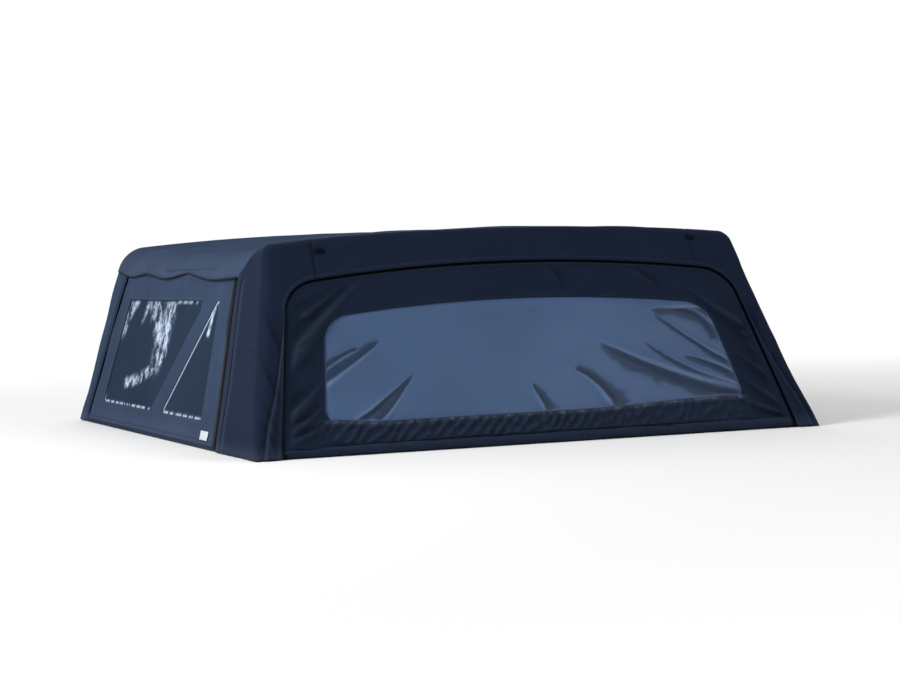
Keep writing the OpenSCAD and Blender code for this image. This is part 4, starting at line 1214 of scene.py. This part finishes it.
# Front curtain and its window

FRONT_FOOT, FRONT_TOP, SHEET_LAP = 0.010, 0.548, 0.010
FRONT_GLASS = np.array([(-0.56, 0.140), (0.56, 0.140), (0.56, 0.440), (-0.56, 0.440)])
GLASS_R = 0.04


def front_curtain():
    """The front curtain: a flat band from its outline, which laps behind the front corners, to its window."""
    low, high = (FRONT_W + SHEET_LAP - s * FRONT_LEAN for s in (FRONT_FOOT, FRONT_TOP))
    outline = [(-low, FRONT_FOOT), (low, FRONT_FOOT), (high, FRONT_TOP), (-high, FRONT_TOP)]
    inner = corner_loop(FRONT_GLASS, GLASS_R, 56)
    flat = between(corner_loop(outline, 0, 56), inner, spaced((0.9, 34), (1, 8)))
    u, s = flat[..., 0], flat[..., 1]
    near = np.abs(loop_gap(flat, inner)[0])
    soft = ripples(u, s, 0.28, 91) * 0.0022 + ripples(u, s, 0.10, 92) * 0.0006
    p = front_pt(u, s, CURTAIN_DEPTH - soft * smooth(0, 0.03, near) - 0.0012 * fall(0.008, 0.012, near))
    n = normals(p)
    seams = [seam(p[::-1], away, n[::-1]) for away in EDGE_ROWS]
    thread = stitches("front_thread", seams, "fabric_side")
    return thread, sheet("front_sheet", p, SIDE_CLOTH, ("front_curtain",), flat, THIN, wrapped=True,
                         dust=0.4 * fall(0.01, 0.06, s))


front_thread, front_sheet = front_curtain()

# Creases of the front window, each from a corner or an edge
FRONT_CREASES = [(-560, 420, -470, 370, -400, 300, 16, 6.0), (-560, 160, -480, 200, -420, 262, 13, 5.0),
                 (560, 425, 460, 385, 370, 330, 18, 6.0), (560, 165, 470, 190, 360, 235, 14, 5.0),
                 (120, 140, 150, 185, 160, 230, 12, 4.0), (-200, 440, -170, 395, -160, 350, 14, 4.0)]


def front_film():
    """The front window; it laps the front curtain from behind."""
    grown = FRONT_GLASS + PANE_LAP * np.sign(FRONT_GLASS - FRONT_GLASS.mean(0))
    flat, faces = trimmed(corner_loop(grown, GLASS_R + 0.005, 40), 0.0075)
    u, s = flat.T
    free = smooth(0, 0.03, loop_gap(flat, corner_loop(FRONT_GLASS, GLASS_R, 40))[0])
    lift, dark, light = folds(u, s, FRONT_CREASES, BLUNT)
    soft = ripples(u, s, 0.30, 95) * 0.0020 + ripples(u, s, 0.12, 96) * 0.0006 + 0.8 * lift
    p = front_pt(u, s, PANE_DEPTH - (soft + 0.001) * free)
    # Painted shade in the creases' troughs and painted highlights on their edges
    return piece("front_film", p, faces, FRONT_FILM, ("front_window",), flat, PANE_THICK,
                 crease=dark * 0.7 * free, edge=light * 0.4 * free)


front_window = front_film()


# Sheets of cloth

def declare():
    """Goes through each side's panel with its thread, its zip and its further pieces, and does nothing with
    them.
    """

    for name, (cut, thread), zips, more in zip(SIDES, panels, side_zips, ([], [blank_tag])):
        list(more)


# Light, floor and camera

def placed(name, data):
    """A new object in the scene."""
    obj = bpy.data.objects.new(name, data)
    bpy.context.scene.collection.objects.link(obj)
    return obj


def white(look, kind, strength):
    return look.node(kind, None, {"Color": (1, 1, 1, 1), "Strength": strength})


def floor_look(colour):
    """Plain paint that turns white with distance, where the camera sees it."""
    look = Look("floor_pale")
    x, y = look.parts(look.place())
    plain = look.node("ShaderNodeBsdfDiffuse", None, {"Color": colour})
    share = look.step((x * x + y * y) ** 0.5, 1.6, 4.5) * look.node("ShaderNodeLightPath", out="Is Camera Ray")
    bright = white(look, "ShaderNodeEmission", 1.0)
    mixed = look.node("ShaderNodeMixShader", None, {0: share, 1: plain, 2: bright})
    look.node("ShaderNodeOutputMaterial", None, {"Surface": mixed})
    return look.owner


def floor():
    mesh = bpy.data.meshes.new("floor")
    mesh.from_pydata([(-40, -40, 0), (40, -40, 0), (40, 40, 0), (-40, 40, 0)], [], [(0, 1, 2, 3)])
    mesh.materials.append(floor_look(srgb(238, 238, 238)))
    placed("floor", mesh)


def world():
    """Even light all round; the camera, reflections and clear sheets see it white."""
    bpy.context.scene.world = bpy.data.worlds.new("studio")
    look = Look("studio", bpy.context.scene.world)
    path = look.node("ShaderNodeLightPath", out="Is Camera Ray")
    outputs = path.socket.node.outputs
    glossy, through = (Value(look, outputs[f"Is {ray} Ray"]) for ray in ("Glossy", "Transmission"))
    soft, bright = (white(look, "ShaderNodeBackground", strength) for strength in (0.46, 1.0))
    mixed = look.node("ShaderNodeMixShader", None, {0: (path + glossy + through).capped(), 1: soft, 2: bright})
    look.node("ShaderNodeOutputWorld", None, {"Surface": mixed})


def lamp(name, place, aim_z, size, power):
    """A square lamp that faces a point over the origin."""
    data = bpy.data.lights.new(name, "AREA")
    data.shape, data.size, data.energy = "SQUARE", size, power
    obj = placed(name, data)
    obj.location = place
    heading = mathutils.Vector((0, 0, aim_z)) - mathutils.Vector(place)
    obj.rotation_euler = heading.to_track_quat("-Z", "Y").to_euler()


def camera():
    """The photograph's place and heading, closer in: yaw right of +Y, pitch down and roll, in degrees."""
    yaw, pitch, roll = np.radians((21.499, 1.946, -1.854))
    forward = np.array((np.sin(yaw) * np.cos(pitch), np.cos(yaw) * np.cos(pitch), -np.sin(pitch)))
    right = np.array((np.cos(yaw), -np.sin(yaw), 0.0))
    up = np.cross(right, forward)
    turn = np.eye(4)
    turn[:3, 0] = np.cos(roll) * right + np.sin(roll) * up
    turn[:3, 1] = np.cos(roll) * up - np.sin(roll) * right
    turn[:3, 2] = -forward
    turn[:3, 3] = -2.61588, -6.96480, 0.52359
    data = bpy.data.cameras.new("camera")
    data.lens, data.sensor_width = 92.47, 36.0
    obj = placed("camera", data)
    obj.matrix_world = mathutils.Matrix(turn.tolist())
    bpy.context.scene.camera = obj


floor()
world()
camera()
lamp("key", (-5.2, -1.8, 3.3), 0.3, 2.2, 300)
lamp("top", (0.3, 0.6, 5.0), 0.5, 3.0, 30)
lamp("fill", (3.6, -4.6, 3.2), 0.3, 3.0, 55)
lamp("back", (1.0, 5.0, 4.0), 0.4, 3.0, 90)
declare()

bpy.context.scene.view_settings.view_transform = "Standard"
